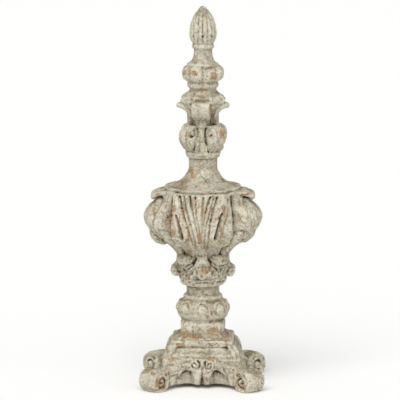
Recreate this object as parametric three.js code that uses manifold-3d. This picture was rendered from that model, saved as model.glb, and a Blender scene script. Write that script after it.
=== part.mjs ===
// A garden finial, cast in one piece with an aged white finish.
// Millimetres, +Z up, the origin on the ground in the middle of the four feet, and the front faces -Y.
// It is a stack of stages. Each has its own height and radius, and its carving is a share of them.

import * as THREE from "three";
import { mergeVertices } from "three/addons/utils/BufferGeometryUtils.js";
import Module from "manifold-3d";

// Heights of the stages, from the ground up
const UNDERSIDE = 8;
const BASE_HEIGHT = 75;
const PLINTH_HEIGHT = 12;
const PILASTER_HEIGHT = 33;
const DRUM_HEIGHT = 43;
const NECK_HEIGHT = 30;
const BOWL_HEIGHT = 19;
const COLLAR_HEIGHT = 38;
const BASKET_HEIGHT = 132;
const SHOULDER_HEIGHT = 67;
const RING_HEIGHT = 13;
const CAGE_HEIGHT = 54;
const CAPITAL_HEIGHT = 43;
const BELL_HEIGHT = 39;
const FILLET_HEIGHT = 6;
const KNOP_HEIGHT = 29;
const STALK_HEIGHT = 36;
const BUD_RING_HEIGHT = 7;
const BUD_HEIGHT = 76;

// Widths and radii of the stages
const BASE_WIDTH = 152;
const PLINTH_WIDTH = 124;
const PILASTER_WIDTH = 88;
const DRUM_RADIUS = 55;
const NECK_RADIUS = 33;
const BOWL_RADIUS = 48;
const COLLAR_RADIUS = 50;
const BASKET_FRONT = 100;
const BASKET_SIDE = 119;
const SHOULDER_RADIUS = 77;
const SLIM_RADIUS = 28;
const RING_RADIUS = 34.5;
const CAGE_REACH = 52;
const STEM_RADIUS = 27;
const CAPITAL_REACH = 54;
const BELL_WIDTH = 90;
const FILLET_RADIUS = 32;
const KNOP_RADIUS = 43;
const STALK_RADIUS = 18.5;
const BUD_RING_RADIUS = 22.5;
const BUD_RADIUS = 27;

// Feet, legs and the arches between them
const FOOT_RADIUS = 24;
const FOOT_WIDTH = 44;
const FOOT_REACH = 134;
const FOOT_FLAT = 3;
const LEG_WIDTH = 36;
const LEG_THICKNESS = 18;
const LEG_SPREAD = 0.32;
const ARCH_WIDTH = 36;
const ARCH_HEIGHT = 31;
const ARCH_DEPTH = 13;
const ARCH_SPACING = 60;
const SCROLL_BEAD = 7;
const CURL_HEIGHT = 20;

// Leaves, flaps and ovals
const COLLAR_LEAF_REACH = 64;
const COLLAR_LEAF_WIDTH = 58;
const COLLAR_LEAF_THICKNESS = 16;
const FLAP_REACH = 104;
const FLAP_WIDTH = 62;
const FLAP_THICKNESS = 11;
const LOBE_WIDTH = 44;
const LOBE_THICKNESS = 20;
const HORN_WIDTH = 38;
const HORN_THICKNESS = 11;
const SCROLL_WIDTH = 26;
const SCROLL_THICKNESS = 8;
const TONGUE_RISE = 5.5;
const OVAL_WIDTH = 33;
const OVAL_HEIGHT = 37;
const OVAL_RELIEF = 6;
const OVALS = 8;
const LOBES = 8;
const FLUTE_DEPTH = 5;
const GROOVE_DEPTH = 3;

// How far a stage sinks into the one below, the width of the slivers that are merged after the
// union, and how finely curves and circles are cut
const SEAT = 1;
const SLIVER = 0.05;
const CURVE_STEPS = 2;
const SLIM_SIDES = 16;
const WIDE_SIDES = 24;
const ROLL_SIDES = 10;
const SHOULDER_SIDES = 20;
const BASKET_SIDES = 56;
const BASKET_ROWS = 9;
const QUARTER = Math.PI / 2;
const FACES = [0, 1, 2, 3].map((side) => side * QUARTER);
const CORNERS = FACES.map((turn) => turn + QUARTER / 2);

// Levels where the stages start
const PLINTH_Z = UNDERSIDE + BASE_HEIGHT;
const PILASTER_Z = PLINTH_Z + PLINTH_HEIGHT;
const DRUM_Z = PILASTER_Z + PILASTER_HEIGHT;
const NECK_Z = DRUM_Z + DRUM_HEIGHT;
const BOWL_Z = NECK_Z + NECK_HEIGHT;
const COLLAR_Z = BOWL_Z + BOWL_HEIGHT;
const BASKET_Z = COLLAR_Z + COLLAR_HEIGHT;
const SHOULDER_Z = BASKET_Z + BASKET_HEIGHT;
const RING_Z = SHOULDER_Z + SHOULDER_HEIGHT;
const CAGE_Z = RING_Z + RING_HEIGHT;
const CAPITAL_Z = CAGE_Z + CAGE_HEIGHT;
const BELL_Z = CAPITAL_Z + CAPITAL_HEIGHT;
const FILLET_Z = BELL_Z + BELL_HEIGHT;
const KNOP_Z = FILLET_Z + FILLET_HEIGHT;
const STALK_Z = KNOP_Z + KNOP_HEIGHT;
const BUD_RING_Z = STALK_Z + STALK_HEIGHT;
const BUD_Z = BUD_RING_Z + BUD_RING_HEIGHT;

const wasm = await Module();
wasm.setup();

// A closed geometry as a solid, with its doubled corners merged and its faces outwards
function solid(geometry) {
  geometry.deleteAttribute("normal");
  geometry.deleteAttribute("uv");
  const merged = mergeVertices(geometry, 1e-4);
  const points = merged.attributes.position;
  const index = merged.index.array;
  const corners = [new THREE.Vector3(), new THREE.Vector3(), new THREE.Vector3()];
  const faces = [];
  let volume = 0;
  for (let i = 0; i < index.length; i += 3) {
    const [a, b, c] = index.slice(i, i + 3);
    if (a === b || b === c || c === a) continue;
    corners.forEach((corner, k) => corner.fromBufferAttribute(points, index[i + k]));
    volume += corners[0].dot(corners[1].clone().cross(corners[2]));
    faces.push([a, b, c]);
  }
  const outward = volume > 0 ? faces : faces.map(([a, b, c]) => [a, c, b]);
  const mesh = new wasm.Mesh({
    numProp: 3,
    vertProperties: new Float32Array(points.array),
    triVerts: new Uint32Array(outward.flat()),
  });
  return new wasm.Manifold(mesh);
}

// An outline for turning: it starts on the axis, and each step is a line or a curve with one handle
function outline(bottom, steps) {
  const path = new THREE.Path();
  path.moveTo(0, bottom);
  for (const step of steps) {
    if (step.length === 4) path.quadraticCurveTo(...step);
    else path.lineTo(...step);
  }
  path.lineTo(0, steps.at(-1).at(-1));
  return path;
}

// A body turned about the axis. carve(turn, share of height) gives a factor on the radius, and
// turn is 0 at the front and grows towards +X.
function turned(path, sides, carve = () => 1) {
  const points = path.getPoints(CURVE_STEPS);
  const body = new THREE.LatheGeometry(points, sides);
  body.rotateX(QUARTER);
  const place = body.attributes.position;
  const low = points[0].y;
  const high = points.at(-1).y;
  for (let i = 0; i < place.count; i += 1) {
    const turn = Math.atan2(place.getX(i), -place.getY(i));
    const factor = carve(turn, (place.getZ(i) - low) / (high - low));
    place.setX(i, place.getX(i) * factor);
    place.setY(i, place.getY(i) * factor);
  }
  return solid(body);
}

// Factors on a radius: a square with eased corners, an octagon, and lobes with a groove at the front
function squared(turn, sharpness) {
  const power = Math.abs(Math.cos(turn)) ** sharpness + Math.abs(Math.sin(turn)) ** sharpness;
  return power ** (-1 / sharpness);
}

function octagonal(turn) {
  const eighth = QUARTER / 2;
  const fromFace = turn - Math.round(turn / eighth) * eighth;
  return 1 / Math.cos(fromFace);
}

function lobed(turn, count, depth) {
  const ridge = Math.abs(Math.sin((turn * count) / 2));
  return 1 - depth * (1 - ridge) ** 2;
}

// A bar with an oval section that follows a flat curve. size(share) gives half its width across the
// curve's plane and half its thickness in it. It lies in X and Y, with its width along Z.
function swept(points, steps, sides, size) {
  const curve = new THREE.SplineCurve(points.map(([x, y]) => new THREE.Vector2(x, y)));
  const body = new THREE.CylinderGeometry(1, 1, 1, sides, steps);
  const place = body.attributes.position;
  for (let i = 0; i < place.count; i += 1) {
    const share = THREE.MathUtils.clamp(place.getY(i) + 0.5, 0, 1);
    const point = curve.getPoint(share);
    const tangent = curve.getTangent(share);
    const [halfWidth, halfThick] = size(share);
    const out = place.getZ(i) * halfThick;
    place.setXYZ(i, point.x + tangent.y * out, point.y - tangent.x * out, place.getX(i) * halfWidth);
  }
  return body;
}

// Stands a flat shape up at one side: its X points away from the axis and its Y up
function upright(geometry, turn) {
  const away = new THREE.Vector3(Math.sin(turn), -Math.cos(turn), 0);
  const up = new THREE.Vector3(0, 0, 1);
  const across = new THREE.Vector3().crossVectors(away, up);
  return solid(geometry.clone().applyMatrix4(new THREE.Matrix4().makeBasis(away, up, across)));
}

// Lays a flat shape on one face: its X runs along the face and its Y up, at the given distance
function onFace(geometry, turn, distance) {
  const along = new THREE.Vector3(Math.cos(turn), Math.sin(turn), 0);
  const up = new THREE.Vector3(0, 0, 1);
  const away = new THREE.Vector3().crossVectors(along, up);
  const place = new THREE.Matrix4().makeBasis(along, up, away);
  place.setPosition(away.clone().multiplyScalar(distance));
  return solid(geometry.clone().applyMatrix4(place));
}

// A share that swells from one end value through the middle to the other end value
function swell(share, start, middle, end) {
  const curve = Math.sin(share * Math.PI);
  return start + (end - start) * share + (middle - (start + end) / 2) * curve;
}

// The base: a square block with a moulding, hollowed by two arches on each face
function base() {
  const half = BASE_WIDTH / 2;
  const top = PLINTH_WIDTH / 2;
  const z = (share) => UNDERSIDE + share * BASE_HEIGHT;
  const block = turned(
    outline(z(0), [
      [half * 0.9, z(0)],
      [half * 0.94, z(0.15)],
      [half * 0.98, z(0.4)],
      [half, z(0.68)],
      [half, z(0.73)],
      [half * 0.965, z(0.75)],
      [half * 0.9, z(0.83), top, z(1) + SEAT],
    ]),
    WIDE_SIDES,
    (turn, share) => {
      const spread = LEG_SPREAD * Math.max(0, 1 - share * 1.6) ** 2 * Math.sin(turn * 2) ** 8;
      return squared(turn, 8) * (1 + spread);
    },
  );
  const arch = new THREE.SphereGeometry(1, 8, 6);
  arch.scale(ARCH_WIDTH / 2, ARCH_HEIGHT, ARCH_DEPTH);
  const arches = FACES.flatMap((turn) =>
    [-1, 1].map((side) => {
      const hollow = arch.clone().translate((side * ARCH_SPACING) / 2, UNDERSIDE, 0);
      return onFace(hollow, turn, half * 0.98);
    }),
  );
  return arches.reduce((body, hollow) => body.subtract(hollow), block);
}

// One C-scroll over an arch, from the leg up and over to its curl beside the middle of the face
function archScroll(side) {
  const middle = ARCH_SPACING / 2;
  const half = ARCH_WIDTH / 2;
  const top = UNDERSIDE + ARCH_HEIGHT;
  const route = [
    [middle + half * 1.15, UNDERSIDE + ARCH_HEIGHT * 0.35],
    [middle + half * 0.85, UNDERSIDE + ARCH_HEIGHT * 0.85],
    [middle, top + CURL_HEIGHT * 0.2],
    [middle - half * 0.75, top + CURL_HEIGHT * 0.15],
    [middle - half * 1.2, top + CURL_HEIGHT * 0.55],
    [middle - half * 1.0, top + CURL_HEIGHT],
    [middle - half * 0.5, top + CURL_HEIGHT * 0.85],
    [middle - half * 0.62, top + CURL_HEIGHT * 0.5],
  ];
  const points = route.map(([x, y]) => [side * x, y]);
  const bead = SCROLL_BEAD / 2;
  return swept(points, 7, 3, (share) => [bead * 1.3, swell(share, bead, bead * 1.3, bead * 0.7)]);
}

// One leg, from the corner of the plinth down to its rolled foot
function leg(turn) {
  const corner = (BASE_WIDTH / 2) * squared(QUARTER / 2, 8);
  const half = LEG_THICKNESS / 2;
  const strap = swept(
    [
      [corner * 0.8 - half, PLINTH_Z + SEAT * 2],
      [corner * 0.98 - half, UNDERSIDE + BASE_HEIGHT * 0.87],
      [corner * 1.05 - half, UNDERSIDE + BASE_HEIGHT * 0.6],
      [corner * 1.09 - half, UNDERSIDE + BASE_HEIGHT * 0.38],
      [FOOT_REACH - FOOT_RADIUS * 0.75, FOOT_RADIUS * 0.75],
      [FOOT_REACH, FOOT_RADIUS * 0.5],
    ],
    5,
    6,
    (share) => [(LEG_WIDTH + (FOOT_WIDTH - LEG_WIDTH) * share) / 2, half],
  );
  return upright(strap, turn);
}

// One rolled foot with a rim and an eye on both faces, cut flat where it stands
function foot(turn) {
  const half = FOOT_WIDTH / 2;
  const radius = FOOT_RADIUS;
  const path = outline(-half, [
    [radius * 0.3, -half],
    [radius * 0.5, -half * 0.78],
    [radius * 0.8, -half],
    [radius, -half * 0.7],
    [radius, half * 0.7],
    [radius * 0.8, half],
    [radius * 0.5, half * 0.78],
    [radius * 0.3, half],
  ]);
  const roll = new THREE.LatheGeometry(path.getPoints(1), ROLL_SIDES);
  roll.rotateX(QUARTER);
  roll.translate(FOOT_REACH, FOOT_RADIUS - FOOT_FLAT, 0);
  return upright(roll, turn);
}

// The square plinth
function plinth() {
  const slab = new THREE.BoxGeometry(PLINTH_WIDTH, PLINTH_WIDTH, PLINTH_HEIGHT + SEAT);
  slab.translate(0, 0, PLINTH_Z + PLINTH_HEIGHT / 2);
  return solid(slab);
}

// The pilaster block with its spreading foot and upright grooves
function pilaster() {
  const half = PILASTER_WIDTH / 2;
  const foot = (half + PLINTH_WIDTH / 2) / 2;
  const z = (share) => PILASTER_Z + share * PILASTER_HEIGHT;
  const path = outline(z(0) - SEAT, [
    [foot, z(0) - SEAT],
    [foot * 1.03, z(0.1)],
    [half * 0.98, z(0.12), half, z(0.35)],
    [half, z(0.85)],
    [half * 0.9, z(1) + SEAT],
  ]);
  return turned(path, SLIM_SIDES, (turn, share) => {
    const onGroove = Math.abs(Math.abs(Math.sin(turn * 2)) - Math.SQRT1_2) < 0.1;
    const groove = onGroove && share > 0.3 && share < 0.95 ? GROOVE_DEPTH / half : 0;
    return squared(turn, 7) * (1 - groove);
  });
}

// The drum with its ring of ovals, each a rim, a groove and a dome
function drum() {
  const radius = DRUM_RADIUS;
  const z = (share) => DRUM_Z + share * DRUM_HEIGHT;
  const body = turned(
    outline(z(0) - SEAT, [
      [radius * 0.78, z(0) - SEAT],
      [radius * 0.82, z(0.1)],
      [radius * 0.97, z(0.25), radius * 0.93, z(0.62)],
      [radius * 0.9, z(0.85), radius * 0.74, z(0.95)],
      [radius * 0.7, z(1) + SEAT],
    ]),
    SLIM_SIDES,
  );
  const rise = OVAL_RELIEF;
  const oval = new THREE.LatheGeometry(
    outline(-rise, [
      [1, -rise],
      [0.92, rise * 0.8],
      [0.72, rise * 0.3],
      [0.4, rise],
    ]).getPoints(1),
    8,
  );
  oval.rotateX(QUARTER);
  oval.scale(OVAL_WIDTH / 2, OVAL_HEIGHT / 2, 1);
  oval.translate(0, z(0.58), 0);
  const turns = Array.from({ length: OVALS }, (_, i) => (i * 2 * Math.PI) / OVALS);
  return turns.reduce((whole, turn) => whole.add(onFace(oval, turn, radius * 0.9)), body);
}

// The ring and neck over the drum, the bowl, and the collar with a drooping leaf on each face
function collar() {
  const neckZ = (share) => NECK_Z + share * NECK_HEIGHT;
  const bowlZ = (share) => BOWL_Z + share * BOWL_HEIGHT;
  const z = (share) => COLLAR_Z + share * COLLAR_HEIGHT;
  const radius = COLLAR_RADIUS;
  const core = turned(
    outline(neckZ(0) - SEAT, [
      [NECK_RADIUS * 1.15, neckZ(0) - SEAT],
      [NECK_RADIUS * 1.2, neckZ(0.2), NECK_RADIUS * 1.13, neckZ(0.35)],
      [NECK_RADIUS * 1.02, neckZ(0.4)],
      [NECK_RADIUS * 0.98, neckZ(0.7), NECK_RADIUS * 1.04, bowlZ(0)],
      [BOWL_RADIUS * 0.95, bowlZ(0.2), BOWL_RADIUS, bowlZ(0.7)],
      [BOWL_RADIUS * 0.97, bowlZ(0.9)],
      [BOWL_RADIUS * 0.86, z(0)],
      [radius * 0.9, z(0.5), radius * 0.98, z(0.85)],
      [radius, z(1) + SEAT],
    ]),
    SLIM_SIDES,
  );
  const thick = COLLAR_LEAF_THICKNESS / 2;
  const reach = COLLAR_LEAF_REACH - thick * 0.9;
  const leaf = swept(
    [
      [radius * 0.84, z(1.1)],
      [radius * 0.98, z(0.8)],
      [reach - thick * 0.25, z(0.5)],
      [reach, z(0.25)],
      [reach - thick, z(0.02)],
    ],
    5,
    6,
    (share) => [
      (COLLAR_LEAF_WIDTH / 2) * swell(share, 0.25, 1, 0.28),
      thick * swell(share, 0.65, 1, 0.75),
    ],
  );
  return FACES.reduce((whole, turn) => whole.add(upright(leaf, turn)), core);
}

// The basket: a fan of flutes on the front and back, and a swelling leaf on the left and right.
// Its two outlines are radii against height, each a spline through a few shares.
function basket() {
  const spline = (radius, shares) =>
    new THREE.SplineCurve(shares.map(([r, h]) => new THREE.Vector2(r * radius, h)));
  const fan = spline(BASKET_FRONT, [
    [0.46, 0],
    [0.57, 0.13],
    [0.82, 0.25],
    [0.98, 0.37],
    [1, 0.55],
    [0.95, 0.75],
    [0.88, 0.9],
    [0.86, 1],
  ]);
  const side = spline(BASKET_SIDE, [
    [0.43, 0],
    [0.52, 0.14],
    [0.78, 0.27],
    [0.93, 0.42],
    [1, 0.61],
    [0.94, 0.74],
    [0.82, 0.84],
    [0.68, 1],
  ]);
  const rows = BASKET_ROWS;
  const sides = BASKET_SIDES;
  const at = (curve, height) => {
    let [low, high] = [0, 1];
    for (let i = 0; i < 24; i += 1) {
      const middle = (low + high) / 2;
      if (curve.getPoint(middle).y < height) low = middle;
      else high = middle;
    }
    return curve.getPoint(low).x;
  };
  const levels = Array.from({ length: rows }, (_, i) => i / (rows - 1));
  const steps = levels.map((share) => [1, BASKET_Z + share * BASKET_HEIGHT]);
  steps[0][1] -= SEAT;
  steps.at(-1)[1] += SEAT;
  const table = new Map(levels.map((share) => [share, [at(fan, share), at(side, share)]]));
  const nearest = (share) => levels[Math.round(THREE.MathUtils.clamp(share, 0, 1) * (rows - 1))];
  const flutes = sides / 2;
  return turned(outline(steps[0][1], steps), sides, (turn, share) => {
    const [front, flank] = table.get(nearest(share));
    const sideways = Math.abs(Math.sin(turn));
    const blend = THREE.MathUtils.smoothstep(sideways, 0.55, 0.85);
    const valley = 1 - 0.1 * Math.exp(-(((sideways - 0.68) / 0.06) ** 2)) * Math.sin(share * Math.PI);
    const flute = FLUTE_DEPTH * Math.sin(share * Math.PI) ** 0.5 * (1 - blend);
    const rib = Math.cos(turn * flutes) / 2;
    return (front + (flank - front) * blend) * valley + flute * rib;
  });
}

// The leaf flap that folds out from the shoulder over each side leaf, and the lobes below that leaf
function flap(turn) {
  const z = (share) => BASKET_Z + share * BASKET_HEIGHT;
  const reach = FLAP_REACH - FLAP_THICKNESS / 2;
  const fold = swept(
    [
      [SHOULDER_RADIUS * 0.7, z(1.02)],
      [SHOULDER_RADIUS * 1.02, z(1)],
      [reach * 0.93, z(0.95)],
      [reach, z(0.89)],
      [reach * 0.93, z(0.855)],
    ],
    7,
    8,
    (share) => [(FLAP_WIDTH / 2) * swell(share, 0.9, 1, 0.4), FLAP_THICKNESS / 2],
  );
  return upright(fold, turn);
}

function lobe(turn) {
  const z = (share) => BASKET_Z + share * BASKET_HEIGHT;
  const drop = swept(
    [
      [BASKET_SIDE * 0.86, z(0.42)],
      [BASKET_SIDE * 0.8, z(0.32)],
      [BASKET_SIDE * 0.7, z(0.25)],
      [BASKET_SIDE * 0.64, z(0.235)],
    ],
    4,
    8,
    (share) => [
      (LOBE_WIDTH / 2) * swell(share, 0.9, 1, 0.4),
      (LOBE_THICKNESS / 2) * swell(share, 0.8, 1, 0.5),
    ],
  );
  return upright(drop, turn);
}

// The round shoulder: a thick rim, a hollow curve up to the slim neck, and the ring on it
function shoulder() {
  const radius = SHOULDER_RADIUS;
  const z = (share) => SHOULDER_Z + share * SHOULDER_HEIGHT;
  const ringZ = (share) => RING_Z + share * RING_HEIGHT;
  return turned(
    outline(z(0) - SEAT, [
      [radius * 1.04, z(0) - SEAT],
      [radius * 1.07, z(0.06)],
      [radius * 0.99, z(0.08)],
      [radius, z(0.15)],
      [radius * 0.55, z(0.22), SLIM_RADIUS * 1.25, z(0.48)],
      [SLIM_RADIUS, z(0.62), SLIM_RADIUS, z(0.76)],
      [SLIM_RADIUS * 1.1, z(1)],
      [RING_RADIUS * 0.97, ringZ(0.1)],
      [RING_RADIUS * 1.03, ringZ(0.5), RING_RADIUS * 0.97, ringZ(0.9)],
      [RING_RADIUS * 0.88, ringZ(1) + SEAT],
    ]),
    SHOULDER_SIDES,
  );
}

// The cage: four C-scrolls on the corners and four tongues on the faces, with a hollow beside each
function cage() {
  const z = (share) => CAGE_Z + share * CAGE_HEIGHT;
  const reach = CAGE_REACH - SCROLL_THICKNESS * 0.4;
  const corner = (reach / STEM_RADIUS) * 0.86;
  const core = turned(
    outline(z(0) - SEAT, [
      [STEM_RADIUS, z(0) - SEAT],
      [STEM_RADIUS, z(0.15)],
      [STEM_RADIUS, z(0.4)],
      [STEM_RADIUS, z(0.65)],
      [STEM_RADIUS, z(0.87)],
      [STEM_RADIUS, z(1) + SEAT],
    ]),
    SLIM_SIDES,
    (turn, share) => {
      const bulge = Math.sin(Math.PI * share) ** 0.5;
      const towardCorner = Math.abs(Math.sin(turn * 2));
      const tongue = towardCorner < 0.2 ? 1 + TONGUE_RISE / STEM_RADIUS : 1;
      const leaf = 1 + (corner - 1) * bulge * THREE.MathUtils.smoothstep(towardCorner, 0.5, 0.8);
      return Math.max(tongue, leaf);
    },
  );
  const route = [
    [STEM_RADIUS * 0.8, z(0.93)],
    [reach * 0.84, z(0.95)],
    [reach, z(0.72)],
    [reach * 0.98, z(0.42)],
    [reach * 0.78, z(0.14)],
    [STEM_RADIUS, z(0.0)],
  ];
  const band = swept(route, 6, 6, () => [SCROLL_WIDTH / 2, SCROLL_THICKNESS / 2]);
  return CORNERS.reduce((whole, turn) => whole.add(upright(band, turn)), core);
}

// The capital: a flaring stem with a leaf on each face that bends out under the bell
function capital() {
  const z = (share) => CAPITAL_Z + share * CAPITAL_HEIGHT;
  const core = turned(
    outline(z(0) - SEAT, [
      [STEM_RADIUS, z(0) - SEAT],
      [STEM_RADIUS * 0.98, z(0.4), STEM_RADIUS * 1.15, z(0.6)],
      [CAPITAL_REACH * 0.7, z(0.8), CAPITAL_REACH * 0.78, z(1) + SEAT],
    ]),
    SLIM_SIDES,
    (turn, share) => 1 + (octagonal(turn) - 1) * share,
  );
  const thick = HORN_THICKNESS / 2;
  const reach = CAPITAL_REACH - thick * 0.65;
  const horn = swept(
    [
      [STEM_RADIUS * 0.93, z(0.1)],
      [STEM_RADIUS * 1.03, z(0.42)],
      [STEM_RADIUS * 1.35, z(0.7)],
      [reach * 0.93, z(0.9)],
      [reach, z(0.82)],
      [reach * 0.96, z(0.74)],
    ],
    5,
    6,
    (share) => [HORN_WIDTH / 2, thick * swell(share, 0.75, 1, 0.55)],
  );
  return FACES.reduce((whole, turn) => whole.add(upright(horn, turn)), core);
}

// The bell over the capital, eight-sided and hollow-shouldered, with the round fillet on it
function bell() {
  const half = BELL_WIDTH / 2;
  const z = (share) => BELL_Z + share * BELL_HEIGHT;
  const filletZ = (share) => FILLET_Z + share * FILLET_HEIGHT;
  const waist = FILLET_RADIUS * 0.83;
  return turned(
    outline(z(0) - SEAT, [
      [half * 0.96, z(0) - SEAT],
      [half, z(0.08)],
      [half * 0.97, z(0.25)],
      [half * 0.94, z(0.5), half * 0.7, z(0.64)],
      [waist, z(0.74), waist, z(0.84)],
      [FILLET_RADIUS * 0.95, filletZ(0)],
      [FILLET_RADIUS, filletZ(0.2)],
      [FILLET_RADIUS, filletZ(0.8)],
      [FILLET_RADIUS * 0.95, filletZ(1) + SEAT],
    ]),
    SLIM_SIDES,
    (turn, share) => 1 + (octagonal(turn) - 1) * (1 - share),
  );
}

// The knop: a cushion of eight lobes
function knop() {
  const radius = KNOP_RADIUS;
  const z = (share) => KNOP_Z + share * KNOP_HEIGHT;
  return turned(
    outline(z(0) - SEAT, [
      [radius * 0.76, z(0) - SEAT],
      [radius * 0.98, z(0.15), radius, z(0.5)],
      [radius * 0.98, z(0.85), radius * 0.76, z(1) + SEAT],
    ]),
    SLIM_SIDES,
    (turn) => lobed(turn, LOBES, 0.1),
  );
}

// The bud: a thin disc on the knop, the stalk, a ring, and petals that close at the tip
function bud() {
  const stalkZ = (share) => STALK_Z + share * STALK_HEIGHT;
  const ringZ = (share) => BUD_RING_Z + share * BUD_RING_HEIGHT;
  const z = (share) => BUD_Z + share * BUD_HEIGHT;
  const disc = FILLET_RADIUS;
  const radius = BUD_RADIUS;
  const whole = BUD_Z + BUD_HEIGHT - STALK_Z;
  return turned(
    outline(stalkZ(0) - SEAT, [
      [disc * 0.94, stalkZ(0) - SEAT],
      [disc * 1.02, stalkZ(0.06)],
      [disc, stalkZ(0.2)],
      [STALK_RADIUS * 1.1, stalkZ(0.28), STALK_RADIUS, stalkZ(0.56)],
      [STALK_RADIUS, stalkZ(0.9)],
      [BUD_RING_RADIUS, ringZ(0.2)],
      [BUD_RING_RADIUS, ringZ(0.7)],
      [BUD_RING_RADIUS * 0.88, z(0)],
      [radius * 0.94, z(0.1), radius * 0.98, z(0.27)],
      [radius * 1.03, z(0.45), radius * 0.93, z(0.62)],
      [radius * 0.82, z(0.77), radius * 0.55, z(0.9)],
      [radius * 0.45, z(0.97), radius * 0.2, z(1)],
    ]),
    SLIM_SIDES,
    (turn, share) => {
      const petal = (share * whole - (BUD_Z - STALK_Z)) / BUD_HEIGHT;
      return lobed(turn, LOBES, 0.14 * Math.sin(Math.PI * THREE.MathUtils.clamp(petal, 0, 1)));
    },
  );
}

// Everything below the ground is cut away, so that the feet stand flat
function onGround(body) {
  const size = FOOT_REACH * 4;
  const ground = new THREE.BoxGeometry(size, size, size);
  ground.translate(0, 0, -size / 2);
  return body.subtract(solid(ground));
}

function finial() {
  const faceDistance = (BASE_WIDTH / 2) * 0.985;
  const pieces = [
    ...FACES.flatMap((turn) => [-1, 1].map((side) => onFace(archScroll(side), turn, faceDistance))),
    ...CORNERS.flatMap((turn) => [leg(turn), foot(turn)]),
    plinth(),
    pilaster(),
    drum(),
    collar(),
    basket(),
    ...[FACES[1], FACES[3]].flatMap((turn) => [flap(turn), lobe(turn)]),
    shoulder(),
    cage(),
    capital(),
    bell(),
    knop(),
    bud(),
  ];
  return onGround(pieces.reduce((whole, piece) => whole.add(piece), base())).simplify(SLIVER);
}

function toGeometry(body) {
  const { numProp, vertProperties, triVerts } = body.getMesh();
  const points = [];
  for (let i = 0; i < vertProperties.length; i += numProp) {
    points.push(vertProperties[i], vertProperties[i + 1], vertProperties[i + 2]);
  }
  const geometry = new THREE.BufferGeometry();
  geometry.setAttribute("position", new THREE.Float32BufferAttribute(points, 3));
  geometry.setIndex([...triVerts]);
  geometry.computeVertexNormals();
  return geometry;
}

const agedWhite = new THREE.MeshStandardMaterial({ color: 0xc9c3b0, roughness: 0.85, metalness: 0 });
const casting = new THREE.Mesh(toGeometry(finial()), agedWhite);
casting.name = "finial";

const object = new THREE.Group();
object.add(casting);

export default object;
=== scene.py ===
"""A garden finial, cast in one piece with an aged white finish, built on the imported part.

Sizes are in millimetres until the end. +Z is up, the ground is at 0, and the front faces -Y.
Stages are turned outlines with carving cut into them, leaves and bands are swept, and all of it
is fused to one skin, weathered, and given one material.
"""

import bpy
import math
import bmesh
import numpy as np
from mathutils import Matrix


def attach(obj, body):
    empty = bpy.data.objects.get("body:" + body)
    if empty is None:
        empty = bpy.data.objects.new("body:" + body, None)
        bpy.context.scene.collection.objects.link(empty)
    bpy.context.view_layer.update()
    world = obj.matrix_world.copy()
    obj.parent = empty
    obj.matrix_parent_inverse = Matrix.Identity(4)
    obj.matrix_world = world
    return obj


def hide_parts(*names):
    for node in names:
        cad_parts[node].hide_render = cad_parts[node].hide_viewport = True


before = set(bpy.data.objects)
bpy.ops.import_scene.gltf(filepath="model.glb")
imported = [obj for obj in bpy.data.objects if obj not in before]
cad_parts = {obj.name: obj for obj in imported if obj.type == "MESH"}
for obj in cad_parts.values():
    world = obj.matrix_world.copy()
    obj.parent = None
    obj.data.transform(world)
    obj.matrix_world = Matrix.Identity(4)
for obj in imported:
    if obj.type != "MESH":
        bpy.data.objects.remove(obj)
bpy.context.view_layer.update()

# Heights of the stages, from the ground up
UNDERSIDE = 8
BASE_HEIGHT = 75
PLINTH_HEIGHT = 12
PILASTER_HEIGHT = 33
DRUM_HEIGHT = 43
NECK_HEIGHT = 30
BOWL_HEIGHT = 19
COLLAR_HEIGHT = 38
BASKET_HEIGHT = 132
SHOULDER_HEIGHT = 67
RING_HEIGHT = 13
CAGE_HEIGHT = 54
CAPITAL_HEIGHT = 43
BELL_HEIGHT = 39
FILLET_HEIGHT = 6
KNOP_HEIGHT = 29
STALK_HEIGHT = 36
BUD_RING_HEIGHT = 7
BUD_HEIGHT = 76

# Widths and radii of the stages
BASE_WIDTH = 152
PLINTH_WIDTH = 124
PILASTER_WIDTH = 88
DRUM_RADIUS = 55
NECK_RADIUS = 33
BOWL_RADIUS = 48
COLLAR_RADIUS = 50
BASKET_FRONT = 100
BASKET_SIDE = 119
SHOULDER_RADIUS = 77
SLIM_RADIUS = 28
RING_RADIUS = 34.5
CAGE_REACH = 52
STEM_RADIUS = 27
CAPITAL_REACH = 54
BELL_WIDTH = 90
FILLET_RADIUS = 32
KNOP_RADIUS = 43
STALK_RADIUS = 18.5
BUD_RING_RADIUS = 22.5
BUD_RADIUS = 27

# Feet, legs and arches
FOOT_RADIUS = 24
FOOT_WIDTH = 44
FOOT_REACH = 134
FOOT_FLAT = 3
LEG_THICKNESS = 18
ARCH_WIDTH = 36
ARCH_HEIGHT = 31
ARCH_DEPTH = 6
ARCH_SPACING = 60

# Leaves, flaps, bands and ovals
COLLAR_LEAF_REACH = 64
COLLAR_LEAF_WIDTH = 58
FLAP_REACH = 104
FLAP_WIDTH = 62
FLAP_THICKNESS = 11
HORN_WIDTH = 38
BAND_WIDTH = 26
OVALS = 8
OVAL_WIDTH = 33
OVAL_HEIGHT = 37
LOBES = 8

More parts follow.
